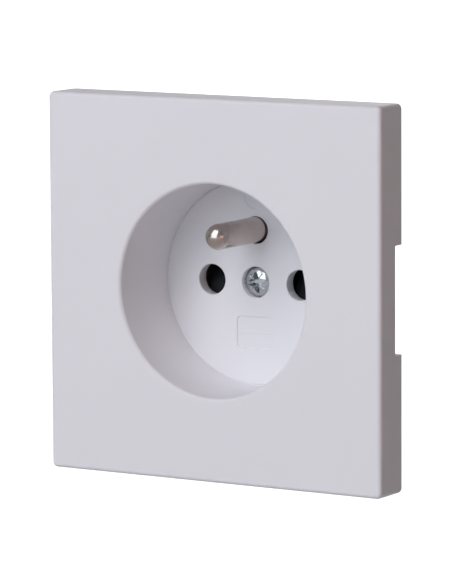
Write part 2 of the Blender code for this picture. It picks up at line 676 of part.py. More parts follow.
def make_shutter_cover():
    """Front plate of the works, which hooks into the base over the shutter."""
    span_x = (-BASE_HALF_WIDTH, BASE_HALF_WIDTH)
    span_y = (-BASE_HALF_HEIGHT, BASE_HALF_HEIGHT)
    thickness = (SHUTTER_COVER_BACK_Z, WORKS_FRONT_Z)
    body = box(
        "shutter_cover", span_x, span_y, thickness, DARK_PLASTIC, corner=BASE_CORNER_RADIUS
    )
    leg_outer = CAVITY_HALF_HEIGHT - SEAT_GAP
    leg_y = (leg_outer - HOOK_THICKNESS, leg_outer)
    barb_y = leg_outer + HOOK_BARB
    leg_end = SHUTTER_COVER_BACK_Z - HOOK_LENGTH
    leg_top = SHUTTER_COVER_BACK_Z + FACE_OVERLAP
    barb_top = leg_end + HOOK_BARB_HEIGHT
    outline = [
        (leg_y[0], leg_end), (leg_y[1], leg_end), (barb_y, barb_top - HOOK_BARB_STEP),
        (barb_y, barb_top), (leg_y[1], barb_top), (leg_y[1], leg_top), (leg_y[0], leg_top),
    ]
    for row, side in (("upper", 1), ("lower", -1)):
        turned_outline = [(side * y, z) for y, z in outline]
        for place, x in (("left", -CONTACT_X), ("right", CONTACT_X)):
            across = (x - HOOK_HALF_WIDTH, x + HOOK_HALF_WIDTH)
            hook = plate(f"hook_{row}_{place}", turned_outline, across)
            hook.rotation_euler = ALONG_X
            join(body, hook)
    through = (SHUTTER_COVER_BACK_Z - CUT_MARGIN, WORKS_FRONT_Z + CUT_MARGIN)
    for name, x in (("left", -CONTACT_X), ("right", CONTACT_X)):
        cut(body, cylinder(f"shutter_hole_{name}", SHUTTER_COVER_HOLE_RADIUS, through, (x, 0.0)))
    cut(body, cylinder("boss_hole", BOSS_RADIUS + FRAME_CLEARANCE, through))
    pin_hole = EARTH_PIN_RADIUS + EARTH_PIN_CLEARANCE
    cut(body, cylinder("shutter_cover_pin_hole", pin_hole, through, (0.0, EARTH_PIN_HEIGHT)))
    return body


def make_shutter():
    """Fork-shaped slider whose two ramped blades close the contact holes."""
    inner = CONTACT_X - SHUTTER_ARM_HALF_WIDTH
    outer = SHUTTER_HALF_WIDTH
    top = BLADE_HALF_HEIGHT
    outline = [
        (-outer, BRIDGE_BOTTOM_Y), (outer, BRIDGE_BOTTOM_Y), (outer, top), (inner, top),
        (inner, BRIDGE_TOP_Y), (-inner, BRIDGE_TOP_Y), (-inner, top), (-outer, top),
    ]
    body = plate("shutter", outline, (SHUTTER_BACK_Z, SHUTTER_FRONT_Z), SHUTTER_PLASTIC)
    low = Vector((0.0, -BLADE_HALF_HEIGHT, SHUTTER_FRONT_Z))
    high = Vector((0.0, BLADE_HALF_HEIGHT, SHUTTER_BACK_Z + SHUTTER_RAMP_EDGE))
    slope = high - low
    tilt = math.atan2(slope.z, slope.y)
    for name, x in (("left", -CONTACT_X), ("right", CONTACT_X)):
        bm = bmesh.new()
        bmesh.ops.create_cube(bm, size=1.0)
        width = 2 * SHUTTER_ARM_HALF_WIDTH + 2 * CUT_MARGIN
        size = (width, 2 * slope.length, SHUTTER_THICKNESS * 2)
        bmesh.ops.scale(bm, vec=size, verts=bm.verts)
        bmesh.ops.translate(bm, vec=(0.0, slope.length, SHUTTER_THICKNESS), verts=bm.verts)
        bmesh.ops.rotate(
            bm, cent=(0.0, 0.0, 0.0), matrix=Matrix.Rotation(tilt, 3, "X"), verts=bm.verts
        )
        bmesh.ops.translate(bm, vec=low + Vector((x, 0.0, 0.0)), verts=bm.verts)
        cut(body, add_object(f"ramp_{name}", mesh_from(bm, f"ramp_{name}")))
    half = SPRING_POCKET_HALF_WIDTH
    pocket_y = (BRIDGE_BOTTOM_Y - CUT_MARGIN, BRIDGE_BOTTOM_Y + SPRING_POCKET_DEPTH)
    cut(body, box("spring_pocket", (-half, half), pocket_y, (SPRING_Z - half, SPRING_Z + half)))
    return body


def make_shutter_spring():
    """Coil spring under the shutter, from the base's wall into the shutter's pocket."""
    curve = bpy.data.curves.new("shutter_spring", "CURVE")
    curve.dimensions = "3D"
    curve.bevel_depth = SPRING_WIRE_RADIUS
    curve.bevel_resolution = 2
    curve.use_fill_caps = True
    spline = curve.splines.new("POLY")
    count = SPRING_TURNS * SPRING_POINTS_PER_TURN
    spline.points.add(count)
    low = SPRING_BOTTOM_Y + SPRING_WIRE_RADIUS
    rise = SPRING_TOP_Y - SPRING_BOTTOM_Y - 2 * SPRING_WIRE_RADIUS
    for index, point in enumerate(spline.points):
        angle = math.tau * index / SPRING_POINTS_PER_TURN
        x = SPRING_COIL_RADIUS * math.cos(angle)
        z = SPRING_Z + SPRING_COIL_RADIUS * math.sin(angle)
        point.co = (x, low + rise * index / count, z, 1.0)
    return add_object("shutter_spring", curve, SPRING_STEEL)


def make_contact_cover():
    """Plate over the contacts, with the shutter's stops and a guard round the earth pin."""
    gap = SEAT_GAP
    span_x = (-CAVITY_HALF_WIDTH + gap, CAVITY_HALF_WIDTH - gap)
    span_y = (-CAVITY_HALF_HEIGHT + gap, CAVITY_HALF_HEIGHT - gap)
    body = box(
        "contact_cover", span_x, span_y, (CONTACT_COVER_BACK_Z, CONTACT_COVER_FRONT_Z),
        DARK_PLASTIC,
    )
    stop_low = BLADE_HALF_HEIGHT + gap
    stop_y = (stop_low, stop_low + STOP_RIB_THICKNESS)
    stop_z = (CONTACT_COVER_FRONT_Z - FACE_OVERLAP, SHUTTER_FRONT_Z)
    stop_x = (CONTACT_X - SHUTTER_ARM_HALF_WIDTH, CAVITY_HALF_WIDTH - gap)
    join(body, box("stop_right", stop_x, stop_y, stop_z))
    join(body, box("stop_left", mirrored(stop_x), stop_y, stop_z))
    inner = EARTH_PIN_COLLAR_RADIUS + GUARD_CLEARANCE
    outer = inner + GUARD_WALL
    low = CONTACT_COVER_FRONT_Z - FACE_OVERLAP
    high = CONTACT_COVER_FRONT_Z + GUARD_HEIGHT
    ring = [(inner, high), (outer, high), (outer, low), (inner, low)]
    pin = (0.0, EARTH_PIN_HEIGHT)
    join(body, turned("pin_guard", ring, segments=32, centre=pin, closed=True))
    through = (CONTACT_COVER_BACK_Z - CUT_MARGIN, CONTACT_COVER_FRONT_Z + CUT_MARGIN)
    for name, x in (("left", -CONTACT_X), ("right", CONTACT_X)):
        cut(body, cylinder(f"cover_hole_{name}", CONTACT_COVER_HOLE_RADIUS, through, (x, 0.0)))
    cut(body, cylinder("screw_passage", SCREW_SHANK_RADIUS + gap, through, segments=32))
    cut(body, cylinder(
        "spigot_passage", EARTH_PIN_SPIGOT_RADIUS + gap, through, pin, segments=32
    ))
    return body


def make_contact(name, x):
    """Brass contact: a tail to the terminal, two spring leaves, one of them slit, and the web."""
    leaf = PLUG_PIN_RADIUS - LEAF_GRIP + STRIP_THICKNESS / 2
    neck_z = STRIP_MIDDLE_Z - LEAF_NECK_DEPTH
    belly = leaf + LEAF_BELLY
    path = [
        (-TERMINAL_OUTER_Y, STRIP_MIDDLE_Z),
        (-leaf - LEAF_FLARE, STRIP_MIDDLE_Z),
        (-leaf, neck_z),
        (-belly, WEB_MIDDLE_Z),
        (belly, WEB_MIDDLE_Z),
        (leaf, neck_z),
        (leaf + LEAF_FLARE, STRIP_MIDDLE_Z),
    ]
    across = (x - STRIP_HALF_WIDTH, x + STRIP_HALF_WIDTH)
    body = strip(name, path, across, STRIP_THICKNESS, STRIP_BEND_RADIUS, BRASS)
    slit_x = (x - LEAF_SLIT_HALF_WIDTH, x + LEAF_SLIT_HALF_WIDTH)
    slit_z = (WEB_MIDDLE_Z + LEAF_SLIT_END, STRIP_FRONT_Z + CUT_MARGIN)
    return cut(body, box(f"{name}_slit", slit_x, (0.0, leaf + LEAF_FLARE + CUT_MARGIN), slit_z))


def make_earth_strap():
    """Flat brass strap from the earth pin to the earth terminal."""
    low = EARTH_PIN_HEIGHT - STRAP_HALF_WIDTH
    span_y = (low, TERMINAL_OUTER_Y)
    body = box(
        "earth_strap", (-STRAP_HALF_WIDTH, STRAP_HALF_WIDTH), span_y,
        (STRIP_BACK_Z, STRIP_FRONT_Z), BRASS, corner=STRIP_THICKNESS,
    )
    through = (STRIP_BACK_Z - CUT_MARGIN, STRIP_FRONT_Z + CUT_MARGIN)
    hole = EARTH_PIN_SPIGOT_RADIUS + SEAT_GAP
    pin = (0.0, EARTH_PIN_HEIGHT)
    return cut(body, cylinder("strap_hole", hole, through, pin, segments=32))


def upright_bar(name, radius, ys, x, z, segments=24):
    """A round cutter along y, for holes that come in from the top or the bottom."""
    bm = bmesh.new()
    bmesh.ops.create_cone(
        bm, cap_ends=True, segments=segments, radius1=radius, radius2=radius, depth=ys[1] - ys[0]
    )
    bmesh.ops.rotate(
        bm, cent=(0.0, 0.0, 0.0), matrix=Matrix.Rotation(math.radians(90), 3, "X"), verts=bm.verts
    )
    bmesh.ops.translate(bm, vec=(x, (ys[0] + ys[1]) / 2, z), verts=bm.verts)
    return add_object(name, mesh_from(bm, name))


def span_on(side, low, high):
    """A span above the middle for side 1, or its mirror below for side -1."""
    return (low, high) if side > 0 else (-high, -low)


def make_terminal(name, x, side):
    """Brass terminal block with a wire tunnel and a cross hole for its screw."""
    across = (x - TERMINAL_HALF_WIDTH, x + TERMINAL_HALF_WIDTH)
    up = span_on(side, TERMINAL_INNER_Y, TERMINAL_OUTER_Y)
    body = box(
        name, across, up, (TERMINAL_BACK_Z, TERMINAL_FRONT_Z), BRASS,
        corner=TERMINAL_CORNER_RADIUS, steps=2,
    )
    through = (TERMINAL_BACK_Z - CUT_MARGIN, TERMINAL_FRONT_Z + CUT_MARGIN)
    centre = (x, side * TERMINAL_OFFSET)
    cut(body, cylinder(f"{name}_tunnel", WIRE_TUNNEL_RADIUS, through, centre, segments=24))
    reach = span_on(side, TERMINAL_OFFSET, TERMINAL_OUTER_Y + CUT_MARGIN)
    hole = TERMINAL_SCREW_RADIUS + SEAT_GAP
    return cut(body, upright_bar(f"{name}_thread", hole, reach, x, TERMINAL_MIDDLE_Z))


def make_terminal_screw(name, x, side):
    """Slotted terminal screw, turned along its own z and laid along y."""
    head = TERMINAL_SCREW_HEAD_HEIGHT
    length = TERMINAL_SCREW_LENGTH
    radius = TERMINAL_SCREW_RADIUS
    chamfer = SCREW_TIP_CHAMFER
    edge = TERMINAL_SCREW_HEAD_RADIUS
    profile = [(0.0, head), (edge - chamfer / 2, head), (edge, head - chamfer / 2), (edge, 0.0)]
    profile += [(radius, 0.0), (radius, chamfer - length), (radius - chamfer, -length)]
    profile.append((0.0, -length))
    screw = turned(name, profile, ZINC_STEEL, segments=24)
    turn = math.radians(-90 * side)
    place = (x, side * TERMINAL_SEAT_Y, TERMINAL_MIDDLE_Z)
    screw.location = place
    screw.rotation_euler = (turn, 0.0, 0.0)
    half = DRIVER_SLOT_WIDTH / 2
    reach = edge + CUT_MARGIN
    slot = box(
        f"{name}_slot", (-reach, reach), (-half, half), (head - DRIVER_SLOT_DEPTH, head + CUT_MARGIN)
    )
    slot.location = place
    slot.rotation_euler = (turn, 0.0, 0.0)
    return cut(screw, slot)


def make_nut():
    """Square nut for the cover screw, held in the base by the contact cover."""
    half = NUT_SIDE / 2
    front = STRIP_FRONT_Z
    body = box(
        "cover_screw_nut", (-half, half), (-half, half), (front - NUT_HEIGHT, front), ZINC_STEEL,
        corner=NUT_CORNER_RADIUS, steps=2,
    )
    through = (front - NUT_HEIGHT - CUT_MARGIN, front + CUT_MARGIN)
    return cut(body, cylinder("nut_thread", SCREW_SHANK_RADIUS + SEAT_GAP, through, segments=32))


def base_contact_pockets(base, name, x):
    """Chamber of one plug contact and the slot for its tail."""
    side_gap = 2 * SEAT_GAP
    across = (x - STRIP_HALF_WIDTH - side_gap, x + STRIP_HALF_WIDTH + side_gap)
    top = CAVITY_FLOOR_Z + CUT_MARGIN
    half = CHAMBER_HALF_HEIGHT
    cut(base, box(f"{name}_chamber", across, (-half, half), (CHAMBER_FLOOR_Z, top)))
    tail = (-TERMINAL_OUTER_Y - SEAT_GAP, -half + CUT_MARGIN)
    cut(base, box(f"{name}_tail_slot", across, tail, (STRIP_BACK_Z - SEAT_GAP, top)))


def base_terminal_pocket(base, name, x, side):
    """Pocket of one terminal, with the wire hole behind and the screw hole at the edge."""
    gap = SEAT_GAP
    across = (x - TERMINAL_POCKET_HALF_WIDTH, x + TERMINAL_POCKET_HALF_WIDTH)
    up = span_on(side, TERMINAL_INNER_Y - gap, TERMINAL_OUTER_Y + gap)
    top = CAVITY_FLOOR_Z + CUT_MARGIN
    cut(base, box(f"{name}_pocket", across, up, (TERMINAL_BACK_Z - gap, top)))
    centre = (x, side * TERMINAL_OFFSET)
    hole_z = (BASE_BACK_Z - CUT_MARGIN, TERMINAL_BACK_Z + CUT_MARGIN)
    cut(base, cylinder(f"{name}_wire", WIRE_TUNNEL_RADIUS, hole_z, centre, segments=24))
    funnel_z = (BASE_BACK_Z, BASE_BACK_Z + WIRE_FUNNEL_DEPTH)
    cut(base, cylinder(
        f"{name}_funnel", WIRE_TUNNEL_RADIUS, funnel_z, centre, segments=24,
        end_radius=WIRE_FUNNEL_RADIUS,
    ))
    reach = span_on(side, TERMINAL_OUTER_Y - gap, BASE_HALF_HEIGHT + CUT_MARGIN)
    hole = TERMINAL_SCREW_HEAD_RADIUS + gap
    cut(base, upright_bar(f"{name}_access", hole, reach, x, TERMINAL_MIDDLE_Z))


def base_ears(base):
    """Side ears under the frame's feet, with their rivet holes and gussets."""
    root = BASE_HALF_WIDTH - BASE_WALL / 2
    tip = EAR_TIP_X
    span_y = (-EAR_HALF_HEIGHT, EAR_HALF_HEIGHT)
    rib = GUSSET_THICKNESS / 2
    for name, sign in (("right", 1), ("left", -1)):
        across = span_on(sign, root, tip)
        ear = box(
            f"ear_{name}", across, span_y, (EAR_BACK_Z, EAR_FRONT_Z), corner=EAR_CORNER_RADIUS
        )
        join(base, ear)
        end = sign * (tip - EAR_CORNER_RADIUS)
        back = EAR_BACK_Z - GUSSET_DEPTH
        front = EAR_BACK_Z + FACE_OVERLAP
        outline = [
            (sign * root, back), (sign * BASE_HALF_WIDTH, back), (end, EAR_BACK_Z), (end, front),
            (sign * root, front),
        ]
        gusset = plate(f"gusset_{name}", outline, (-rib, rib))
        gusset.rotation_euler = ALONG_Y
        join(base, gusset)
    hole = RIVET_RADIUS + SEAT_GAP
    through = (EAR_BACK_Z - CUT_MARGIN, EAR_FRONT_Z + CUT_MARGIN)
    for number, (x, y) in enumerate(rivet_places()):
        cut(base, cylinder(f"ear_hole_{number}", hole, through, (x, y), segments=16))


def base_steps(base):
    """Stepped back of the base: cut-away upper corners and a channel between the terminals."""
    depth = (BASE_BACK_Z - CUT_MARGIN, CAVITY_FLOOR_Z - BASE_WALL)
    inner = TERMINAL_POCKET_HALF_WIDTH + BASE_WALL
    side = (inner, BASE_HALF_WIDTH + CUT_MARGIN)
    upper = (CHAMBER_HALF_HEIGHT + BASE_WALL, BASE_HALF_HEIGHT + CUT_MARGIN)
    for name, across in (("right", side), ("left", mirrored(side))):
        cut(base, box(f"step_{name}", across, upper, depth, corner=STEP_CORNER_RADIUS))
    channel = (-CHANNEL_HALF_WIDTH, CHANNEL_HALF_WIDTH)
    cut(base, box("channel", channel, mirrored(upper), depth, corner=STEP_CORNER_RADIUS))


def make_base():
    """Moulded base with its cavity, chambers, terminal pockets, ears and hook windows."""
    span_x = (-BASE_HALF_WIDTH, BASE_HALF_WIDTH)
    span_y = (-BASE_HALF_HEIGHT, BASE_HALF_HEIGHT)
    base = box(
        "socket_base", span_x, span_y, (BASE_BACK_Z, BASE_FRONT_Z), DARK_PLASTIC,
        corner=BASE_CORNER_RADIUS, back=BASE_BACK_ROUNDING, steps=3,
    )
    base_steps(base)
    base_ears(base)
    cut(base, box(
        "works_cavity", (-CAVITY_HALF_WIDTH, CAVITY_HALF_WIDTH),
        (-CAVITY_HALF_HEIGHT, CAVITY_HALF_HEIGHT), (CAVITY_FLOOR_Z, BASE_FRONT_Z + CUT_MARGIN),
    ))
    top = CAVITY_FLOOR_Z + CUT_MARGIN
    base_contact_pockets(base, "live", -CONTACT_X)
    base_contact_pockets(base, "neutral", CONTACT_X)
    for name, x, side in TERMINALS:
        base_terminal_pocket(base, name, x, side)
    strap = STRAP_HALF_WIDTH + SEAT_GAP
    strap_y = (EARTH_PIN_HEIGHT - strap, TERMINAL_OUTER_Y + SEAT_GAP)
    cut(base, box("strap_pocket", (-strap, strap), strap_y, (STRIP_BACK_Z - SEAT_GAP, top)))
    head_back = STRIP_BACK_Z - SEAT_GAP - EARTH_PIN_HEAD_HEIGHT - SEAT_GAP
    cut(base, cylinder(
        "pin_head_pocket", EARTH_PIN_HEAD_RADIUS + SEAT_GAP, (head_back, top),
        (0.0, EARTH_PIN_HEIGHT), segments=32,
    ))
    nut = NUT_SIDE / 2 + SEAT_GAP
    nut_back = STRIP_FRONT_Z - NUT_HEIGHT - SEAT_GAP
    cut(base, box("nut_pocket", (-nut, nut), (-nut, nut), (nut_back, top)))
    screw_end = SCREW_SEAT_Z + SEAT_GAP - SCREW_SHANK_LENGTH - CUT_MARGIN
    cut(base, cylinder("screw_end_hole", SCREW_HOLE_RADIUS, (screw_end, top), segments=32))
    window_z_low = SHUTTER_COVER_BACK_Z - HOOK_LENGTH - SEAT_GAP
    window_z = (window_z_low, window_z_low + HOOK_BARB_HEIGHT + 2 * SEAT_GAP)
    window_y = (CAVITY_HALF_HEIGHT - CUT_MARGIN, BASE_HALF_HEIGHT + CUT_MARGIN)
    for row, across in enumerate((window_y, mirrored(window_y))):
        for side, x in enumerate((-CONTACT_X, CONTACT_X)):
            half = HOOK_HALF_WIDTH + SEAT_GAP
            cut(base, box(f"window_{row}_{side}", (x - half, x + half), across, window_z))
    return base


def frame_outline():
    """Outline of the frame's sheet, a square with cut corners."""
    half = FRAME_HALF
    short = FRAME_HALF - FRAME_CORNER_CHAMFER
    return [
        (half, -short), (half, short), (short, half), (-short, half),
        (-half, short), (-half, -short), (-short, -half), (short, -half),
    ]


def frame_holes(frame):
    """Keyhole slots for the box screws on the four sides, and round holes in the corners."""
    through = (-CUT_MARGIN, FRAME_THICKNESS + CUT_MARGIN)
    slot = slot_outline(FIXING_X, FIXING_SLOT_LENGTH, FIXING_SLOT_RADIUS)
    key = (FIXING_X - KEYHOLE_INSET, FIXING_SLOT_LENGTH / 2)
    corner = (CORNER_HOLE_X, CORNER_HOLE_X)
    for quarter in range(4):
        tools = (
            plate(f"fixing_slot_{quarter}", slot, through),
            cylinder(f"keyhole_{quarter}", KEYHOLE_RADIUS, through, key, segments=24),
            cylinder(f"corner_hole_{quarter}", CORNER_HOLE_RADIUS, through, corner, segments=20),
        )
        for tool in tools:
            tool.rotation_euler = (0.0, 0.0, math.radians(90 * quarter))
        cut(frame, *tools)


def make_support_frame():
    """Pressed steel frame: slotted sheet with two arms bent back to feet on the base."""
    opening = circle_outline((0.0, 0.0), FRAME_OPENING_RADIUS, 72)
    frame = plate("support_frame", frame_outline(), (0.0, FRAME_THICKNESS), ZINC_STEEL, [opening])
    frame_holes(frame)
    middle_z = FRAME_THICKNESS / 2
    foot_z = (FOOT_FRONT_Z + FOOT_BACK_Z) / 2
    root_x = FRAME_OPENING_RADIUS + FRAME_THICKNESS
    width = (-FRAME_ARM_HALF_WIDTH, FRAME_ARM_HALF_WIDTH)
    for name, sign in (("right", 1), ("left", -1)):
        path = [
            (sign * root_x, middle_z), (sign * FRAME_ARM_X, middle_z),
            (sign * FRAME_ARM_X, foot_z), (sign * FOOT_INNER_X, foot_z),
        ]
        arm = strip(
            f"arm_{name}", path, width, FRAME_THICKNESS, FRAME_BEND_RADIUS, plane="xz"
        )
        join(frame, arm)
    through = (FOOT_BACK_Z - CUT_MARGIN, FOOT_FRONT_Z + CUT_MARGIN)
    for number, (x, y) in enumerate(rivet_places()):
        cut(frame, cylinder(
            f"foot_hole_{number}", RIVET_RADIUS + SEAT_GAP, through, (x, y), segments=16
        ))
    return frame


def rivet_places():
    """Places of the four rivets across the face."""
    return [(sign * RIVET_X, y) for sign in (-1, 1) for y in RIVET_Y_PLACES]


def make_rivet(name, centre):
    """Domed rivet through a foot and an ear, with its formed tail behind."""
    head_back = FOOT_FRONT_Z + SEAT_GAP
    tail_front = EAR_BACK_Z - SEAT_GAP
    profile = []
    for step in range(5):
        angle = math.radians(90 * (1 - step / 4))
        height = head_back + RIVET_HEAD_HEIGHT * math.sin(angle)
        profile.append((RIVET_HEAD_RADIUS * math.cos(angle), height))
    profile[0] = (0.0, head_back + RIVET_HEAD_HEIGHT)
    profile += [(RIVET_RADIUS, head_back), (RIVET_RADIUS, tail_front)]
    profile += [(RIVET_HEAD_RADIUS, tail_front)]
    profile += [(RIVET_RADIUS, tail_front - RIVET_HEAD_HEIGHT)]
    profile.append((0.0, tail_front - RIVET_HEAD_HEIGHT))
    return turned(name, profile, ZINC_STEEL, segments=16, centre=centre)


TERMINALS = (
    ("live_terminal", -CONTACT_X, -1),
    ("neutral_terminal", CONTACT_X, -1),
    ("earth_terminal", 0.0, 1),
)


def build():
    """Make every piece of the socket outlet."""
    smooth(make_front_cover(), 30.0)
    smooth(make_cover_screw())
    smooth(make_earth_pin())
    make_support_frame()
    for number, centre in enumerate(rivet_places(), start=1):
        smooth(make_rivet(f"frame_rivet_{number}", centre))
    make_base()
    make_contact_cover()
    make_shutter_cover()
    make_shutter()
    make_shutter_spring()
    make_contact("live_contact", -CONTACT_X)
    make_contact("neutral_contact", CONTACT_X)
    make_earth_strap()
    make_nut()
    for name, x, side in TERMINALS:
        make_terminal(name, x, side)
        smooth(make_terminal_screw(name + "_screw", x, side))
    bpy.context.view_layer.update()


build()
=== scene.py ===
"""Visual model of an earthed wall socket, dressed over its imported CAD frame.

New pieces are modelled lying down, in the face plan: x to the right, y up and z out of the
wall towards the room, with the wall at z = 0. Bench.stand then sets them upright in the CAD's
own frame, where the cover faces -Y and the works go into the wall along +Y.
"""

from __future__ import annotations

import logging
import math
from contextlib import contextmanager
from dataclasses import dataclass
from enum import Enum
from typing import Any, Callable, Iterator, Sequence

import bmesh
import bpy
from mathutils import Matrix, Vector


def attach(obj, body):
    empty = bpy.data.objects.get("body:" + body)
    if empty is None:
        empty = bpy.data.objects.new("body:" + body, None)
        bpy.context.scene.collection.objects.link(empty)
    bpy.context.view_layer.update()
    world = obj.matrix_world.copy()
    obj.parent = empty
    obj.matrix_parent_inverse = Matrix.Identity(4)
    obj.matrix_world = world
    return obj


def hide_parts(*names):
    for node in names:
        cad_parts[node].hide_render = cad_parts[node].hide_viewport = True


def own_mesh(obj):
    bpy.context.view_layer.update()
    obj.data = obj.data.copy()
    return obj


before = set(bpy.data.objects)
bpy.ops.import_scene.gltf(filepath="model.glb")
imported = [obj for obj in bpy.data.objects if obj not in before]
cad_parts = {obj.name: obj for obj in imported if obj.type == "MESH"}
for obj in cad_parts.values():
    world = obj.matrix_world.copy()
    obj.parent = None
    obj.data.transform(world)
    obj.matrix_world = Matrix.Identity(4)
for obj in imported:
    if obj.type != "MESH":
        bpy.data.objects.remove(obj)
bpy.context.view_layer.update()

MM = 0.001
LOG = logging.getLogger("socket")

Point = tuple[float, float]
Triple = tuple[float, float, float]
Profile = Sequence[Point]
Test = Callable[[Vector, Vector], bool]

WHITE: Triple = (1.0, 1.0, 1.0)
EASE_STEPS = 3


class Join(Enum):
    """How one piece on the bench is combined with another."""

    ADD = "UNION"
    CUT = "DIFFERENCE"


class Pick(Enum):
    """What a test on the bench selects."""

    FACES = "FACE"
    EDGES = "EDGE"


class Axis(Enum):
    """The axes of the face plan that a piece is turned about."""

    ACROSS = "X"
    OUT = "Z"


class Body(Enum):
    """The bodies of the CAD frame."""

    OUTLET = "outlet"
    SLIDER = "shutter_slider"


# Shader maths


class Signal:
    """A shader socket that adds its Math nodes when Python operators are used on it."""

    def __init__(self, graph: Graph, socket: bpy.types.NodeSocket) -> None:
        """Keep the graph and the output socket that the value comes from."""
        self.graph = graph
        self.socket = socket

    def _math(self, operation: str, *values: Any) -> Signal:
        """Add one Math node for an operation on the given values."""
        inputs = dict(enumerate(values))
        return self.graph.node("ShaderNodeMath", {"operation": operation}, inputs)

    def __add__(self, other: Any) -> Signal:
        """Sum of this value and another."""
        return self._math("ADD", self, other)

    def __radd__(self, other: Any) -> Signal:
        """Sum of another value and this one."""
        return self._math("ADD", other, self)

    def __sub__(self, other: Any) -> Signal:
        """This value less another."""
        return self._math("SUBTRACT", self, other)

    def __rsub__(self, other: Any) -> Signal:
        """Another value less this one."""
        return self._math("SUBTRACT", other, self)

    def __mul__(self, other: Any) -> Signal:
        """Product of this value and another."""
        return self._math("MULTIPLY", self, other)

    def __rmul__(self, other: Any) -> Signal:
        """Product of another value and this one."""
        return self._math("MULTIPLY", other, self)

    def larger(self, other: Any) -> Signal:
        """The larger of this value and another."""
        return self._math("MAXIMUM", self, other)


class Graph:
    """The node tree of one material or of the world, built from expressions."""

    NOISE_ROUGHNESS = 0.55
    MIX_FACTOR = 0
    MIX_FIRST = 6
    MIX_SECOND = 7
    MIX_RESULT = 2

    def __init__(self, tree: bpy.types.NodeTree) -> None:
        """Keep the tree that nodes are added to."""
        self.tree = tree

    def node(
        self,
        kind: str,
        settings: dict[str, Any] | None = None,
        inputs: dict[int | str, Any] | None = None,
        output: int | str = 0,
    ) -> Signal:
        """Add a node of any type.

        Args:
            kind: Blender's name of the node type.
            settings: Properties of the node, which are set before its sockets.
            inputs: Values or signals for the input sockets, by name or number.
            output: Name or number of the output socket.

        Returns:
            The signal at the output socket.
        """
        item = self.tree.nodes.new(kind)
        for name, value in (settings or {}).items():
            setattr(item, name, value)
        for key, value in (inputs or {}).items():
            self.feed(item.inputs[key], value)
        return Signal(self, item.outputs[output])

    def feed(self, socket: bpy.types.NodeSocket, value: Any) -> None:
        """Link a signal to a socket, or set a constant on it.

        Args:
            socket: The input socket.
            value: A signal, or a number, colour or vector.
        """
        if isinstance(value, Signal):
            self.tree.links.new(value.socket, socket)
        else:
            socket.default_value = (*value, 1.0) if socket.type == "RGBA" else value

    def place(self, kind: str = "Object") -> Signal:
        """Coordinates of the point that is shaded."""
        return self.node("ShaderNodeTexCoord", output=kind)

    def part(self, vector: Signal, axis: str) -> Signal:
        """One of a vector's three numbers, by its axis."""
        return self.node("ShaderNodeSeparateXYZ", None, {"Vector": vector}, axis)

    def ray(self, kind: str) -> Signal:
        """1 for rays of one kind, such as Camera or Glossy, and 0 for the rest."""
        return self.node("ShaderNodeLightPath", output=f"Is {kind} Ray")

    def fade(
        self, value: Signal, span: Point, result: Point = (0.0, 1.0), kind: str = "LINEAR"
    ) -> Signal:
        """Carry a value from one span over to another, and keep it inside.

        Args:
            value: The value.
            span: Start and end of the value's own span.
            result: What comes out at the start and at the end.
            kind: How it runs between the two.

        Returns:
            The value that comes out.
        """
        limits = zip(("From Min", "From Max", "To Min", "To Max"), (*span, *result))
        inputs = {"Value": value, **dict(limits)}
        return self.node("ShaderNodeMapRange", {"interpolation_type": kind}, inputs)

    def noise(
        self, scale: float, detail: float = 2.0, stretch: Triple = (1.0, 1.0, 1.0)
    ) -> Signal:
        """Noise on Object coordinates.

        Args:
            scale: Grains per metre.
            detail: Octaves of finer noise.
            stretch: Factors on the three axes, where a small one draws the grain out.

        Returns:
            The noise value, about 0.5 on average.
        """
        drawn = self.node("ShaderNodeMapping", None, {"Vector": self.place(), "Scale": stretch})
        inputs = {
            "Vector": drawn, "Scale": scale, "Detail": detail, "Roughness": self.NOISE_ROUGHNESS,
        }
        return self.node("ShaderNodeTexNoise", None, inputs)

    def tint(self, factor: Signal, first: Signal | Triple, second: Signal | Triple) -> Signal:
        """Mix two colours by a factor.

        Args:
            factor: 0 gives the first colour and 1 the second.
            first: A coloured signal, or red, green and blue.
            second: The same for the second colour.

        Returns:
            The mixed colour.
        """
        inputs = {self.MIX_FACTOR: factor, self.MIX_FIRST: first, self.MIX_SECOND: second}
        return self.node("ShaderNodeMix", {"data_type": "RGBA"}, inputs, self.MIX_RESULT)

    def bump(self, height: Signal, depth: float, strength: float) -> Signal:
        """Normal of a surface with a fine relief.

        Args:
            height: Relief from 0 to 1.
            depth: Height of the relief in metres.
            strength: Share of the relief that shows.

        Returns:
            The bumped normal.
        """
        inputs = {"Height": height, "Distance": depth, "Strength": strength}
        return self.node("ShaderNodeBump", None, inputs, output="Normal")


def shade(colour: Triple, factor: float) -> Triple:
    """A colour made lighter or darker by a factor."""
    return tuple(min(1.0, channel * factor) for channel in colour)


@dataclass(frozen=True)
class Finish:
    """What all finishes share: a name, a colour, a gloss and the record's slot."""

    name: str
    colour: Triple
    roughness: float
    slot: str
    specular: float = 0.5

    def material(self) -> bpy.types.Material:
        """Make the finish's material.

        Returns:
            The material, which is made only once.
        """
        known = bpy.data.materials.get(self.name)
        if known:
            return known
        made = bpy.data.materials.new(self.name)
        made.use_nodes = True
        made.diffuse_color = (*self.colour, 1.0)
        shader = made.node_tree.nodes["Principled BSDF"]
        graph = Graph(made.node_tree)
        shader.inputs["Specular IOR Level"].default_value = self.specular
        for name, value in self.sockets(graph).items():
            graph.feed(shader.inputs[name], value)
        return made

    def sockets(self, graph: Graph) -> dict[str, Any]:
        """Values and signals for the shader's sockets."""
        return {"Base Color": self.colour, "Roughness": self.roughness}


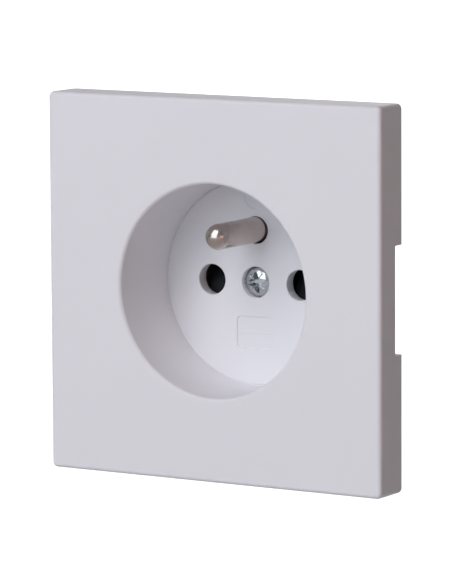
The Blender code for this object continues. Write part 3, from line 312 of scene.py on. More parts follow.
@dataclass(frozen=True)
class MouldedPlastic(Finish):
    """Injection-moulded plastic: an even colour, a fine spark-eroded grain and faint flow."""

    grain: float = 2600.0
    relief: float = 0.012 * MM
    strength: float = 0.35
    flow: float = 0.012
    flow_scale: float = 45.0
    gloss_scale: float = 400.0
    gloss_detail: float = 1.0
    gloss_spread: float = 0.10

    def sockets(self, graph: Graph) -> dict[str, Any]:
        """Colour with faint flow marks, uneven gloss and a fine grain.

        Args:
            graph: The material's node tree.

        Returns:
            What each of the shader's sockets gets.
        """
        drift = graph.noise(self.flow_scale)
        grain = graph.noise(self.grain)
        soft = graph.noise(self.gloss_scale, self.gloss_detail)
        dark = shade(self.colour, 1.0 - self.flow)
        light = shade(self.colour, 1.0 + self.flow)
        return {
            "Base Color": graph.tint(drift, dark, light),
            "Roughness": self.roughness + self.gloss_spread * (soft - 0.5),
            "Normal": graph.bump(grain, self.relief, self.strength),
        }


@dataclass(frozen=True)
class PlatedMetal(Finish):
    """Plated or bare metal: a second tone in clouds, worn gloss and fine tool marks."""

    second: Triple = (0.5, 0.5, 0.5)
    cloud: float = 500.0
    cloud_detail: float = 3.0
    cloud_gloss: float = 0.22
    marks: float = 3000.0
    mark_gloss: float = 0.08
    along: Triple = (1.0, 1.0, 1.0)
    relief: float = 0.006 * MM
    strength: float = 0.4

    def sockets(self, graph: Graph) -> dict[str, Any]:
        """Clouded colour, uneven gloss and tool marks drawn out along one axis.

        Args:
            graph: The material's node tree.

        Returns:
            What each of the shader's sockets gets.
        """
        cloud = graph.noise(self.cloud, self.cloud_detail)
        marks = graph.noise(self.marks, stretch=self.along)
        worn = self.cloud_gloss * (cloud - 0.5) + self.mark_gloss * (marks - 0.5)
        return {
            "Base Color": graph.tint(cloud, self.colour, self.second),
            "Metallic": 1.0,
            "Roughness": self.roughness + worn,
            "Normal": graph.bump(marks, self.relief, self.strength),
        }


@dataclass(frozen=True)
class DrivenHead(PlatedMetal):
    """Plated screw head with painted shade that darkens its colour down in its recess.

    The head's top stands at head on Y and bends back by curve times the square of the radius.
    The painted shade begins and is full at two depths below that, and ends between the radii in
    reach.
    """

    head: float = 7.9 * MM
    curve: float = 82.0
    first_dark: float = 0.1 * MM
    full_dark: float = 1.3 * MM
    reach: Point = (2.4 * MM, 2.2 * MM)
    recess_shade: Triple = (0.50, 0.52, 0.53)

    def sockets(self, graph: Graph) -> dict[str, Any]:
        """The plated finish, with painted shade that darkens it with the depth below the domed
        head.

        Args:
            graph: The material's node tree.

        Returns:
            What each of the shader's sockets gets.
        """
        sockets = super().sockets(graph)
        across, depth, height = (graph.part(graph.place(), axis) for axis in "XYZ")
        bowl = (across * across + height * height) * self.curve
        begin, full = self.head + self.first_dark, self.head + self.full_dark
        outer, inner = (self.curve * radius ** 2 for radius in self.reach)
        # Painted shade: the colour is darkened with depth inside the cross recess, where shade
        # falls.
        dark = graph.fade(depth - bowl, (begin, full)) * graph.fade(bowl, (outer, inner))
        sockets["Base Color"] = graph.tint(dark, sockets["Base Color"], self.recess_shade)
        return sockets


WHITE_PLASTIC = MouldedPlastic(
    "white moulded plastic", (0.80, 0.80, 0.83), 0.65, "white_plastic", specular=0.30
)
DARK_PLASTIC = MouldedPlastic(
    "dark grey moulded plastic", (0.045, 0.045, 0.050), 0.48, "dark_plastic",
    grain=1800.0, relief=0.02 * MM, flow=0.06,
)
SHUTTER_PLASTIC = MouldedPlastic(
    "blue-black shutter plastic", (0.010, 0.010, 0.014), 0.50, "shutter_plastic",
    specular=0.25, flow=0.06,
)
ZINC = PlatedMetal(
    "bright zinc plate", (0.66, 0.69, 0.72), 0.26, "zinc_plated_steel",
    second=(0.56, 0.59, 0.61), cloud=700.0,
)
SCREW_ZINC = DrivenHead(
    "bright zinc plate of the cover screw", (0.71, 0.74, 0.76), 0.24, "zinc_plated_steel",
    second=(0.62, 0.65, 0.67), cloud=700.0,
)
ZINC_SHEET = PlatedMetal(
    "zinc-plated steel sheet", (0.60, 0.62, 0.64), 0.38, "zinc_plated_steel",
    second=(0.52, 0.535, 0.54), cloud=260.0, marks=900.0, along=(1.0, 1.0, 0.06),
)
NICKEL = PlatedMetal(
    "nickel-plated turned brass", (0.61, 0.525, 0.475), 0.22, "nickel_plated_brass",
    second=(0.51, 0.435, 0.39), cloud=420.0, marks=5200.0, along=(0.05, 1.0, 0.05),
)
BRASS = PlatedMetal(
    "rolled brass", (0.80, 0.62, 0.32), 0.30, "contact_brass",
    second=(0.66, 0.48, 0.23), cloud=380.0, marks=1600.0, along=(1.0, 0.08, 0.08),
)
SPRING_WIRE = PlatedMetal(
    "drawn spring wire", (0.52, 0.52, 0.54), 0.30, "spring_steel",
    second=(0.40, 0.40, 0.42), cloud=900.0,
)


# The bench


class Bench:
    """One mesh on the bench, shaped with edit-mode operators that pick by place."""

    MERGE = 0.001 * MM
    FLAT_ANGLE = 0.5
    EASE_ANGLE = 40.0
    EASE_SEGMENTS = 2

    def __init__(self, item: bpy.types.Object) -> None:
        """Keep the object that is being shaped."""
        self.item = item

    @staticmethod
    def clear() -> None:
        """Leave edit mode and deselect everything."""
        if bpy.context.object and bpy.context.object.mode != "OBJECT":
            bpy.ops.object.mode_set(mode="OBJECT")
        bpy.ops.object.select_all(action="DESELECT")

    @classmethod
    def take(cls, name: str) -> Bench:
        """Name the primitive that was just added and fix its place in its mesh.

        Args:
            name: Name of the piece.

        Returns:
            The piece on the bench.
        """
        item = bpy.context.object
        item.name = name
        item.data.name = name
        bpy.ops.object.transform_apply(location=True, rotation=True, scale=True)
        return cls(item)

    @classmethod
    def block(cls, name: str, xs: Point, ys: Point, zs: Point) -> Bench:
        """Start from a cube between two planes each way.

        Args:
            name: Name of the piece.
            xs: Left and right.
            ys: Bottom and top.
            zs: Back and front.

        Returns:
            The block on the bench.
        """
        cls.clear()
        spans = (sorted(xs), sorted(ys), sorted(zs))
        bpy.ops.mesh.primitive_cube_add(
            size=1.0,
            location=[(low + high) / 2 for low, high in spans],
            scale=[high - low for low, high in spans],
        )
        return cls.take(name)

    @classmethod
    def turned(
        cls, name: str, profile: Profile, centre: Point = (0.0, 0.0), segments: int = 96
    ) -> Bench:
        """Start from a disc and draw it out along z, ring by ring, as on a lathe.

        Args:
            name: Name of the piece.
            profile: Points (radius, height) from the first end to the last.
            centre: Place of the axis.
            segments: Facets round the axis.

        Returns:
            The closed turned shape on the bench.
        """
        cls.clear()
        radius, height = profile[0]
        bpy.ops.mesh.primitive_circle_add(
            vertices=segments, radius=radius, fill_type="NGON", location=(*centre, height)
        )
        made = cls.take(name)
        with made.editing():
            bpy.ops.mesh.select_all(action="SELECT")
            for wide, high in profile[1:]:
                made.draw_out(high - height)
                made.scale_picked(wide / radius, (*centre, high))
                radius, height = wide, high
        return made.outwards()

    @classmethod
    def copy_of(cls, node: str, name: str) -> Bench:
        """Start from a merged copy of a CAD node's mesh.

        Args:
            node: Name of the CAD node.
            name: Name of the new piece.

        Returns:
            The copy on the bench, with its flat faces made whole.
        """
        cls.clear()
        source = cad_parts[node]
        item = bpy.data.objects.new(name, source.data.copy())
        item.data.name = name
        bpy.context.scene.collection.objects.link(item)
        made = cls(item)
        with made.editing():
            bpy.ops.mesh.select_all(action="SELECT")
            bpy.ops.mesh.remove_doubles(threshold=cls.MERGE)
            bpy.ops.mesh.dissolve_limited(angle_limit=math.radians(cls.FLAT_ANGLE))
        return made

    @contextmanager
    def editing(self) -> Iterator[None]:
        """Hold the piece, and nothing else, in edit mode."""
        self.pick()
        bpy.ops.object.mode_set(mode="EDIT")
        yield
        bpy.ops.object.mode_set(mode="OBJECT")

    def pick(self) -> None:
        """Make this piece the only selected one."""
        self.clear()
        self.item.select_set(True)
        bpy.context.view_layer.objects.active = self.item

    def choose(self, kind: Pick, test: Callable[[Any], bool]) -> None:
        """Select the faces or edges that pass a test, and nothing else.

        Args:
            kind: Whether faces or edges are selected.
            test: Takes one face or edge.
        """
        bpy.ops.mesh.select_mode(type=kind.value)
        bpy.ops.mesh.select_all(action="DESELECT")
        mesh = bmesh.from_edit_mesh(self.item.data)
        for element in getattr(mesh, kind.name.lower()):
            if test(element):
                element.select_set(True)
        bmesh.update_edit_mesh(self.item.data)

    def pick_faces(self, test: Test) -> None:
        """Select the faces whose middle and normal pass a test."""
        self.choose(Pick.FACES, lambda face: test(face.calc_center_median(), face.normal))

    def draw_out(self, length: float) -> None:
        """Extrude the selected face along z."""
        shift = (0.0, 0.0, length)
        bpy.ops.mesh.extrude_region_move(TRANSFORM_OT_translate={"value": shift})

    def scale_picked(self, share: float, centre: Triple) -> None:
        """Scale what is selected in the face plan, about a place."""
        bpy.ops.transform.resize(value=(share, share, 1.0), center_override=centre)

    def round_edges(self, test: Test, radius: float, segments: int) -> Bench:
        """Round the edges that pass a test.

        Args:
            test: Takes the two ends of an edge.
            radius: Radius of the rounding.
            segments: Facets across the rounding.

        Returns:
            This piece.
        """
        with self.editing():
            self.choose(Pick.EDGES, lambda edge: test(edge.verts[0].co, edge.verts[1].co))
            bpy.ops.mesh.bevel(
                offset=radius, offset_type="OFFSET", segments=segments, profile=0.5,
                affect="EDGES", clamp_overlap=False,
            )
        return self

    def round_uprights(self, radius: float, segments: int) -> Bench:
        """Round the edges that run along z."""
        return self.round_edges(
            lambda a, b: abs(a.x - b.x) + abs(a.y - b.y) < self.MERGE, radius, segments
        )

    def round_level(self, height: float, radius: float, segments: int = EASE_STEPS) -> Bench:
        """Round the edges that lie at one height."""
        return self.round_edges(
            lambda a, b: abs(a.z - height) + abs(b.z - height) < self.MERGE, radius, segments
        )

    def combine(self, how: Join, *tools: Bench) -> Bench:
        """Add tools to this piece, or cut them from it, and use them up.

        Args:
            how: Whether the tools are added or cut.
            tools: The other pieces.

        Returns:
            This piece.
        """
        for tool in tools:
            step = self.item.modifiers.new(how.name.lower(), "BOOLEAN")
            step.operation = how.value
            step.solver = "EXACT"
            step.object = tool.item
            self.apply(step)
            bpy.data.objects.remove(tool.item, do_unlink=True)
        return self

    def apply(self, step: bpy.types.Modifier) -> None:
        """Apply one modifier of this piece."""
        self.pick()
        bpy.ops.object.modifier_apply(modifier=step.name)

    def outwards(self) -> Bench:
        """Merge doubles and turn all faces outwards.

        Returns:
            This piece.
        """
        with self.editing():
            bpy.ops.mesh.select_all(action="SELECT")
            bpy.ops.mesh.remove_doubles(threshold=self.MERGE)
            bpy.ops.mesh.normals_make_consistent(inside=False)
        return self

    def carry(self, profile: Profile) -> None:
        """Carry the selected flat face inwards and along its normal, ring by ring.

        Args:
            profile: Points (outset, height against the normal), from the face's own place.
        """
        for (wide, high), (narrow, low) in zip(profile, profile[1:]):
            if wide - narrow < self.MERGE / 10:
                self.draw_out(low - high)
            else:
                bpy.ops.mesh.inset(thickness=wide - narrow, depth=high - low)

    def turn(self, degrees: float, axis: Axis = Axis.OUT) -> Bench:
        """Turn the piece about an axis of the face plan.

        Args:
            degrees: Angle, counter-clockwise as seen against the axis.
            axis: The axis.

        Returns:
            This piece.
        """
        self.item.matrix_world = Matrix.Rotation(math.radians(degrees), 4, axis.value)
        self.pick()
        bpy.ops.object.transform_apply(location=True, rotation=True, scale=True)
        return self

    def stand(self) -> Bench:
        """Set a piece that was modelled in the face plan upright in the CAD's frame."""
        return self.turn(90.0, Axis.ACROSS)

    def ease_edges(self, width: float) -> Bench:
        """Break every sharp edge by a small rounding.

        Args:
            width: Width of the rounding.

        Returns:
            This piece.
        """
        step = self.item.modifiers.new("eased", "BEVEL")
        step.width = width
        step.segments = self.EASE_SEGMENTS
        step.limit_method = "ANGLE"
        step.angle_limit = math.radians(self.EASE_ANGLE)
        step.use_clamp_overlap = True
        self.apply(step)
        return self

    def polish(self, angle: float = 35.0) -> Bench:
        """Shade smooth up to an angle, with the broad faces kept flat.

        Args:
            angle: Angle in degrees from which an edge stays sharp.

        Returns:
            This piece.
        """
        self.pick()
        bpy.ops.object.shade_smooth_by_angle(angle=math.radians(angle))
        step = self.item.modifiers.new("flats", "WEIGHTED_NORMAL")
        step.keep_sharp = True
        self.apply(step)
        return self

    def dress(self, finish: Finish, body: Body, *nodes: str) -> bpy.types.Object:
        """Give the piece its finish, its body and the CAD nodes that it stands for.

        Args:
            finish: The surface finish.
            body: The body that it moves with.
            nodes: Names of the CAD nodes that it replaces.

        Returns:
            The finished object.
        """
        self.item.data.materials.clear()
        self.item.data.materials.append(finish.material())
        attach(self.item, body.value)
        if nodes:
            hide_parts(*nodes)
        LOG.info("%s: %d faces", self.item.name, len(self.item.data.polygons))
        return self.item


def about(middle: float, half: float) -> Point:
    """Two places equally far from a middle."""
    return (middle - half, middle + half)


def arc(centre: Point, radius: float, start: float, end: float, steps: int) -> list[Point]:
    """Points of an arc in a profile.

    Args:
        centre: Middle of the arc.
        radius: Radius of the arc.
        start: First angle in degrees.
        end: Last angle in degrees.
        steps: Facets of the arc.

    Returns:
        The points, both ends among them.
    """
    points = []
    for step in range(steps + 1):
        angle = math.radians(start + (end - start) * step / steps)
        points.append((centre[0] + radius * math.cos(angle), centre[1] + radius * math.sin(angle)))
    return points


def mouth(radius: float, height: float, ease: float, steps: int = EASE_STEPS) -> list[Point]:
    """Rounded mouth of a hole that opens to the front, from its rim inwards."""
    return arc((radius + ease, height - ease), ease, 90, 180, steps)


def heel(radius: float, height: float, ease: float, steps: int = EASE_STEPS) -> list[Point]:
    """Rounded rear edge of something round, from its side inwards."""
    return arc((radius - ease, height + ease), ease, 0, -90, steps)


# Sub-assemblies


@dataclass
class FrontCover:
    """One-piece white moulding: square plate, round cup with its lip, holes and bare panel."""

    side: float = 71.0 * MM
    depth: float = 8.0 * MM
    corner: float = 1.0 * MM
    edge: float = 0.8 * MM
    back_edge: float = 0.2 * MM
    skin: float = 2.0 * MM
    wall: float = 1.8 * MM
    inner_corner: float = 0.8 * MM
    rib_offset: float = 11.0 * MM
    rib_half: float = 0.5 * MM
    rib_back: float = 1.6 * MM
    notch_half: float = 10.0 * MM
    notch_depth: float = 2.5 * MM
    lip_radius: float = 19.8 * MM
    floor_radius: float = 19.4 * MM
    recess_depth: float = 15.8 * MM
    lip_rounding: float = 0.7 * MM
    floor_crease: float = 0.16 * MM
    cup_wall: float = 1.7 * MM
    cup_floor: float = 1.4 * MM
    cup_rounding: float = 0.8 * MM
    well_radius: float = 2.95 * MM
    well_depth: float = 2.6 * MM
    screw_hole: float = 2.1 * MM
    boss_wall: float = 1.6 * MM
    boss_floor: float = 1.5 * MM
    hole_x: float = 9.5 * MM
    hole_radius: float = 2.85 * MM
    hole_rim: float = 0.27 * MM
    hole_draft: float = 0.38 * MM
    collar_radius: float = 3.55 * MM
    collar_length: float = 1.5 * MM
    pin_place: Point = (0.12 * MM, 9.8 * MM)
    pin_hole: float = 2.57 * MM
    pin_rim: float = 0.08 * MM
    panel_width: float = 7.7 * MM
    panel_height: float = 5.85 * MM
    panel_drop: float = 9.47 * MM
    panel_side: float = -0.17 * MM
    panel_sink: float = 0.2 * MM
    panel_rim: float = 0.16 * MM
    panel_fillet: float = 0.06 * MM
    panel_divider: float = 0.35 * MM
    divider_height: float = 0.08 * MM
    divider_edge: float = 0.048 * MM
    divider_seat: float = 0.1 * MM
    panel_corner: float = 0.85 * MM
    mark_radius: float = 2.3 * MM
    mark_y: float = 16.0 * MM
    mark_sink: float = 0.08 * MM
    segments: int = 192
    mark_segments: int = 64
    corner_steps: int = 10
    edge_steps: int = 6
    inner_steps: int = 5
    cup_steps: int = 5
    lip_steps: int = 8
    panel_steps: int = 8
    rim_steps: int = 4
    over: float = 1.0 * MM
    clear: float = 0.4 * MM

    @property
    def floor(self) -> float:
        """Height of the recess floor."""
        return self.depth - self.recess_depth

    def wall_radius(self, height: float) -> float:
        """Radius of the recess's drafted wall at a height."""
        share = (self.depth - height) / self.recess_depth
        return self.lip_radius + share * (self.floor_radius - self.lip_radius)

    def shell(self) -> Bench:
        """Square shell with rounded corners and edges, hollow from behind.

        Returns:
            The shell.
        """
        span = about(0.0, self.side / 2)
        shell = Bench.block("cover_moulding", span, span, (0.0, self.depth))
        shell.round_uprights(self.corner, self.corner_steps)
        shell.round_level(self.depth, self.edge, self.edge_steps)
        shell.round_level(0.0, self.back_edge)
        inside = about(0.0, self.side / 2 - self.wall)
        ceiling = self.depth - self.skin
        hollow = Bench.block("hollow", inside, inside, (-self.over, ceiling))
        hollow.round_uprights(self.inner_corner, self.inner_steps)
        hollow.round_level(ceiling, self.back_edge)
        return shell.combine(Join.CUT, hollow)

    def ribs(self) -> list[Bench]:
        """Eight ribs between the cup and the plate's walls.

        Returns:
            The ribs.
        """
        start = math.sqrt((self.wall_radius(0.0) + self.cup_wall / 2) ** 2 - self.rib_offset ** 2)
        reach = (start, self.side / 2 - self.wall + self.clear)
        heights = (self.rib_back, self.depth - self.skin + self.clear)
        ribs = []
        for quarter in range(4):
            for side in (self.rib_offset, -self.rib_offset):
                rib = Bench.block("rib", reach, about(side, self.rib_half), heights)
                ribs.append(rib.turn(90.0 * quarter))
        return ribs

    def cup(self) -> Bench:
        """Outside of the cup with the boss that the cover screw pulls on.

        Returns:
            The cup, still solid.
        """
        top = self.depth - self.skin / 2
        back = self.floor - self.cup_floor
        outer = self.wall_radius(back) + self.cup_wall
        boss = self.well_radius + self.boss_wall
        end = self.floor - self.well_depth - self.boss_floor
        profile = [(self.wall_radius(top) + self.cup_wall, top)]
        profile += heel(outer, back, self.cup_rounding, self.cup_steps)
        profile += mouth(boss, back, self.back_edge) + heel(boss, end, self.back_edge)
        return Bench.turned("cup", profile, segments=self.segments)

    def recess(self) -> Bench:
        """Space of the recess: rounded lip, drafted wall, floor crease, screw well and hole.

        Returns:
            The cutter.
        """
        lip = self.lip_rounding
        lip_radius = self.wall_radius(self.depth - lip)
        crease = self.floor_crease
        creased = self.floor - crease
        floor_radius = self.wall_radius(self.floor)
        seat = self.floor - self.well_depth
        profile = [(lip_radius + lip, self.depth + self.over)]
        profile += mouth(lip_radius, self.depth, lip, self.lip_steps)
        profile += [(floor_radius, creased), (floor_radius - crease, creased)]
        profile += [(floor_radius - 2 * crease, self.floor)]
        profile += mouth(self.well_radius, self.floor, self.pin_rim)
        profile += [(self.well_radius, seat), (self.screw_hole, seat)]
        profile.append((self.screw_hole, seat - self.boss_floor - self.over))
        return Bench.turned("recess", profile, segments=self.segments)

    def round_hole(self, radius: float, rim: float, centre: Point) -> Bench:
        """Cutter of a hole through the recess floor, flared for the hole's rounded rim.

        Args:
            radius: Radius of the hole.
            rim: Radius of the rounding at its front.
            centre: Place of the hole.

        Returns:
            The cutter.
        """
        profile = [(radius + rim, self.floor + self.over)]
        profile += mouth(radius, self.floor, rim, self.rim_steps)
        end = self.floor - self.cup_floor - self.collar_length - self.over
        profile.append((radius + self.hole_draft, end))
        return Bench.turned("hole", profile, centre)

    def collar(self, centre: Point) -> Bench:
        """Short collar behind a contact hole, which reaches into the plate behind.

        Args:
            centre: Place of the hole.

        Returns:
            The collar, still solid.
        """
        back = self.floor - self.cup_floor
        ends = (back + self.clear, back - self.collar_length)
        return Bench.turned("collar", [(self.collar_radius, end) for end in ends], centre)

    def notches(self) -> list[Bench]:
        """Notches in the back edges of the two side walls.

        Returns:
            The two cutters.
        """
        near = self.side / 2 - self.wall - self.over
        far = self.side / 2 + self.over
        width = about(0.0, self.notch_half)
        heights = (-self.over, self.notch_depth)
        reaches = ((near, far), (-near, -far))
        return [Bench.block("notch", reach, width, heights) for reach in reaches]

    def panel(self) -> Bench:
        """The bare sunk panel, flared for its rim and filleted at its bottom.

        Returns:
            The cutter.
        """
        rim = self.panel_rim
        cutter = Bench.block(
            "panel", about(self.panel_side, self.panel_width / 2 + rim),
            about(-self.panel_drop, self.panel_height / 2 + rim),
            (self.floor, self.floor + self.over),
        )
        cutter.round_uprights(self.panel_corner + rim, self.panel_steps)
        profile = mouth(0.0, 0.0, rim, self.rim_steps)
        profile += heel(0.0, -self.panel_sink, self.panel_fillet)
        with cutter.editing():
            cutter.pick_faces(lambda middle, normal: normal.z < -0.5)
            cutter.carry(profile)
        return cutter

    def divider(self) -> Bench:
        """Low rounded rib across the panel.

        Returns:
            The rib.
        """
        bottom = self.floor - self.panel_sink
        top = bottom + self.divider_height
        rib = Bench.block(
            "divider", about(self.panel_side, self.panel_width / 2 + self.divider_seat),
            about(-self.panel_drop, self.panel_divider / 2), (bottom - self.clear, top),
        )
        return rib.round_level(top, self.divider_edge)

    def build(self) -> None:
        """Make and dress the cover."""
        cover = self.shell()
        cover.combine(Join.ADD, self.cup(), *self.ribs())
        cover.combine(Join.CUT, self.recess())
        for sign in (1.0, -1.0):
            centre = (sign * self.hole_x, 0.0)
            cover.combine(Join.ADD, self.collar(centre))
            cover.combine(Join.CUT, self.round_hole(self.hole_radius, self.hole_rim, centre))
        cover.combine(Join.CUT, self.round_hole(self.pin_hole, self.pin_rim, self.pin_place))
        cover.combine(Join.CUT, *self.notches(), self.panel())
        cover.combine(Join.ADD, self.divider())
        ends = (self.floor + self.over, self.floor - self.mark_sink)
        profile = [(self.mark_radius, end) for end in ends]
        mark = Bench.turned("mark", profile, (0.0, self.mark_y), self.mark_segments)
        cover.combine(Join.CUT, mark)
        cover.outwards().stand().polish().dress(WHITE_PLASTIC, Body.OUTLET, "front_cover")


@dataclass
class CoverScrew:
    """Pan-head screw with a cross recess and its four short marks, sunk in its well."""

    underside: float = -10.1 * MM
    head_radius: float = 2.75 * MM
    rim_height: float = 1.0 * MM
    dome: float = 1.2 * MM
    shank_radius: float = 1.7 * MM
    shank_length: float = 13.0 * MM
    tip: float = 0.5 * MM
    edge: float = 0.12 * MM
    dome_start: float = 88.0
    dome_steps: int = 14
    wing_reach: float = 2.3 * MM
    wing_low_share: float = 0.52
    wing_root: float = 1.9 * MM
    wing_tip: float = 0.6 * MM
    cross_depth: float = 1.6 * MM
    cross_turn: float = 8.0
    tick_width: float = 0.2 * MM
    tick_reach: float = 2.0 * MM
    tick_depth: float = 0.12 * MM
    smooth: float = 30.0
    over: float = 1.0 * MM

    @property
    def top(self) -> float:
        """Height of the head's highest point."""
        return self.underside + self.rim_height + self.dome

    def blank(self) -> Bench:
        """The screw before its recess: domed head, rim, underside and shank.

        Returns:
            The screw's blank.
        """
        rim = self.underside + self.rim_height
        profile = []
        for step in range(self.dome_steps + 1):
            angle = math.radians(self.dome_start * (1 - step / self.dome_steps))
            profile.append((self.head_radius * math.cos(angle), rim + self.dome * math.sin(angle)))
        profile += heel(self.head_radius, self.underside, self.edge)
        end = self.underside - self.shank_length
        profile += [(self.shank_radius, self.underside), (self.shank_radius, end + self.tip)]
        profile.append((self.shank_radius - self.tip, end))
        return Bench.turned("cover_screw_turned", profile)

    def wing(self, turn: float) -> Bench:
        """One wing of the recess: wide at the middle, narrow at its tip and below.

        Args:
            turn: Angle in degrees.

        Returns:
            The cutter.
        """
        # The cutter stands above the head, so its top is grown by the walls' slope.
        bottom = self.top - self.cross_depth
        grown = 1 + self.over / self.cross_depth * (1 - self.wing_low_share)
        wing = Bench.block(
            "wing", (0.0, self.wing_reach * grown), about(0.0, self.wing_root * grown / 2),
            (bottom, self.top + self.over),
        )
        narrow = (1.0, self.wing_tip / self.wing_root, 1.0)
        centre = (0.0, 0.0, bottom)
        with wing.editing():
            wing.pick_faces(lambda middle, normal: normal.x > 0.5)
            bpy.ops.transform.resize(value=narrow, center_override=centre)
            wing.pick_faces(lambda middle, normal: normal.z < -0.5)
            wing.scale_picked(self.wing_low_share / grown, centre)
        return wing.turn(turn)

    def ticks(self) -> list[Bench]:
        """The four short marks between the wings.

        Returns:
            The two cutters, each for two marks.
        """
        share = math.sqrt(1 - (self.tick_reach / self.head_radius) ** 2)
        bottom = self.underside + self.rim_height + self.dome * share - self.tick_depth
        ticks = []
        for angle in (45.0, 135.0):
            tick = Bench.block(
                "tick", about(0.0, self.tick_reach), about(0.0, self.tick_width / 2),
                (bottom, self.top + self.over),
            )
            ticks.append(tick.turn(self.cross_turn + angle))
        return ticks

    def build(self) -> None:
        """Make and dress the screw."""
        screw = self.blank()
        screw.combine(Join.CUT, *self.ticks())
        for quarter in range(4):
            screw.combine(Join.CUT, self.wing(self.cross_turn + 90.0 * quarter))
        screw.outwards().stand().polish(self.smooth)
        screw.dress(SCREW_ZINC, Body.OUTLET, "cover_screw")


@dataclass
class EarthPin:
    """Round earth pin: domed tip, shaft, collar, spigot and riveted end."""

    height: float = 9.9 * MM
    radius: float = 2.4 * MM
    tip: float = 7.7 * MM
    collar_radius: float = 3.5 * MM
    collar_front: float = -13.6 * MM
    collar_back: float = -15.6 * MM
    spigot_radius: float = 1.9 * MM
    head_radius: float = 2.7 * MM
    head_front: float = -18.8 * MM
    head_back: float = -19.6 * MM
    head_slope: float = 0.6 * MM
    ease: float = 0.15 * MM
    tip_start: float = 88.5
    tip_steps: int = 20
    segments: int = 128

    def build(self) -> None:
        """Make and dress the pin."""
        dome = (0.0, self.tip - self.radius)
        profile = arc(dome, self.radius, self.tip_start, 0, self.tip_steps)
        profile += [(self.radius, self.collar_front)]
        rim = (self.collar_radius - self.ease, self.collar_front - self.ease)
        profile += arc(rim, self.ease, 90, 0, EASE_STEPS)
        profile += heel(self.collar_radius, self.collar_back, self.ease)
        profile += [(self.spigot_radius, self.collar_back), (self.spigot_radius, self.head_front)]
        profile += [(self.head_radius, self.head_front)]
        profile += [(self.head_radius - self.head_slope, self.head_back)]
        pin = Bench.turned("earth_pin_turned", profile, (0.0, self.height), self.segments)
        pin.stand().polish().dress(NICKEL, Body.OUTLET, "earth_pin")


@dataclass
class ShutterSpring:
    """Compression spring under the shutter, wound from drawn wire."""

    coil_radius: float = 1.1 * MM
    wire_radius: float = 0.16 * MM
    bottom: float = -19.25 * MM
    top: float = -7.65 * MM
    depth: float = 13.4 * MM
    turns: int = 7
    steps: int = 28
    wire_steps: int = 12
    smooth: float = 50.0
    travel: float = 6.8 * MM

    def build(self) -> None:
        """Make and dress the spring."""
        Bench.clear()
        start = self.bottom + self.wire_radius
        rise = self.top - self.bottom - 2 * self.wire_radius
        bpy.ops.mesh.primitive_circle_add(
            vertices=self.wire_steps, radius=self.wire_radius, fill_type="NOTHING",
            location=(self.coil_radius, 0.0, 0.0), rotation=(math.pi / 2, 0.0, 0.0),
        )
        spring = Bench.take("shutter_spring_coil")
        step = spring.item.modifiers.new("coil", "SCREW")
        step.angle = math.tau
        step.screw_offset = rise / self.turns
        step.iterations = self.turns
        step.steps = self.steps
        step.render_steps = self.steps
        step.use_smooth_shade = True
        spring.apply(step)
        with spring.editing():
            bpy.ops.mesh.select_all(action="SELECT")
            bpy.ops.mesh.fill_holes(sides=0)
        spring.outwards()
        spring.item.location = (0.0, self.depth, start)
        spring.pick()
        bpy.ops.object.transform_apply(location=True, rotation=False, scale=False)
        piece = spring.polish(self.smooth).dress(SPRING_WIRE, Body.OUTLET, "shutter_spring")
        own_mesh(piece)


@dataclass(frozen=True)
class EasedCopy:
    """A CAD node's own shape with its edges eased, finished as a piece of its own."""

    node: str
    name: str
    finish: Finish
    ease: float
    body: Body = Body.OUTLET

    def build(self) -> None:
        """Make and dress the piece."""
        piece = Bench.copy_of(self.node, self.name)
        piece.ease_edges(self.ease).polish().dress(self.finish, self.body, self.node)


@dataclass
class Works:
    """The moulded and brass pieces behind the cover, from the front to the back."""

    mould_ease: float = 0.2 * MM
    plate_ease: float = 0.12 * MM
    strip_ease: float = 0.1 * MM
    screw_ease: float = 0.06 * MM

    def build(self) -> None:
        """Make and dress the works."""
        plate, strip = self.plate_ease, self.strip_ease
        rows = [
            ("shutter_cover", "shutter_cover_moulding", DARK_PLASTIC, plate),
            ("shutter", "shutter_slide_moulding", SHUTTER_PLASTIC, plate, Body.SLIDER),
            ("contact_cover", "contact_cover_moulding", DARK_PLASTIC, plate),
            ("socket_base", "base_moulding", DARK_PLASTIC, self.mould_ease),
            ("live_contact", "live_contact_strip", BRASS, strip),
            ("neutral_contact", "neutral_contact_strip", BRASS, strip),
            ("earth_strap", "earth_strap_blank", BRASS, strip),
            ("cover_screw_nut", "square_nut", ZINC, plate),
        ]
        for line in ("live", "neutral", "earth"):
            block, screw = f"{line}_terminal", f"{line}_terminal_screw"
            rows.append((block, f"{block}_block", BRASS, plate))
            rows.append((screw, f"{line}_clamp_screw", ZINC, self.screw_ease))
        for row in rows:
            EasedCopy(*row).build()


@dataclass
class MountingFrame:
    """Pressed steel frame with its four rivets."""

    press_ease: float = 0.12 * MM
    rivet_ease: float = 0.05 * MM
    rivets: int = 4

    def build(self) -> None:
        """Make and dress the frame and its rivets."""
        EasedCopy("support_frame", "pressed_frame", ZINC_SHEET, self.press_ease).build()
        for number in range(1, self.rivets + 1):
            node, name = f"frame_rivet_{number}", f"foot_rivet_{number}"
            EasedCopy(node, name, ZINC, self.rivet_ease).build()


# The studio


def facing(azimuth: float, elevation: float) -> tuple[Vector, Vector, Vector]:
    """Directions of something that looks at the object.

    Args:
        azimuth: Turn to the right of the object's front, in degrees.
        elevation: Angle above the horizon, in degrees.

    Returns:
        Its right, its up and its back direction.
    """
    turn = math.radians(azimuth)
    rise = math.radians(elevation)
    back = Vector((
        math.sin(turn) * math.cos(rise), -math.cos(turn) * math.cos(rise), math.sin(rise)
    ))
    right = Vector((math.cos(turn), math.sin(turn), 0.0))
    return right, back.cross(right), back


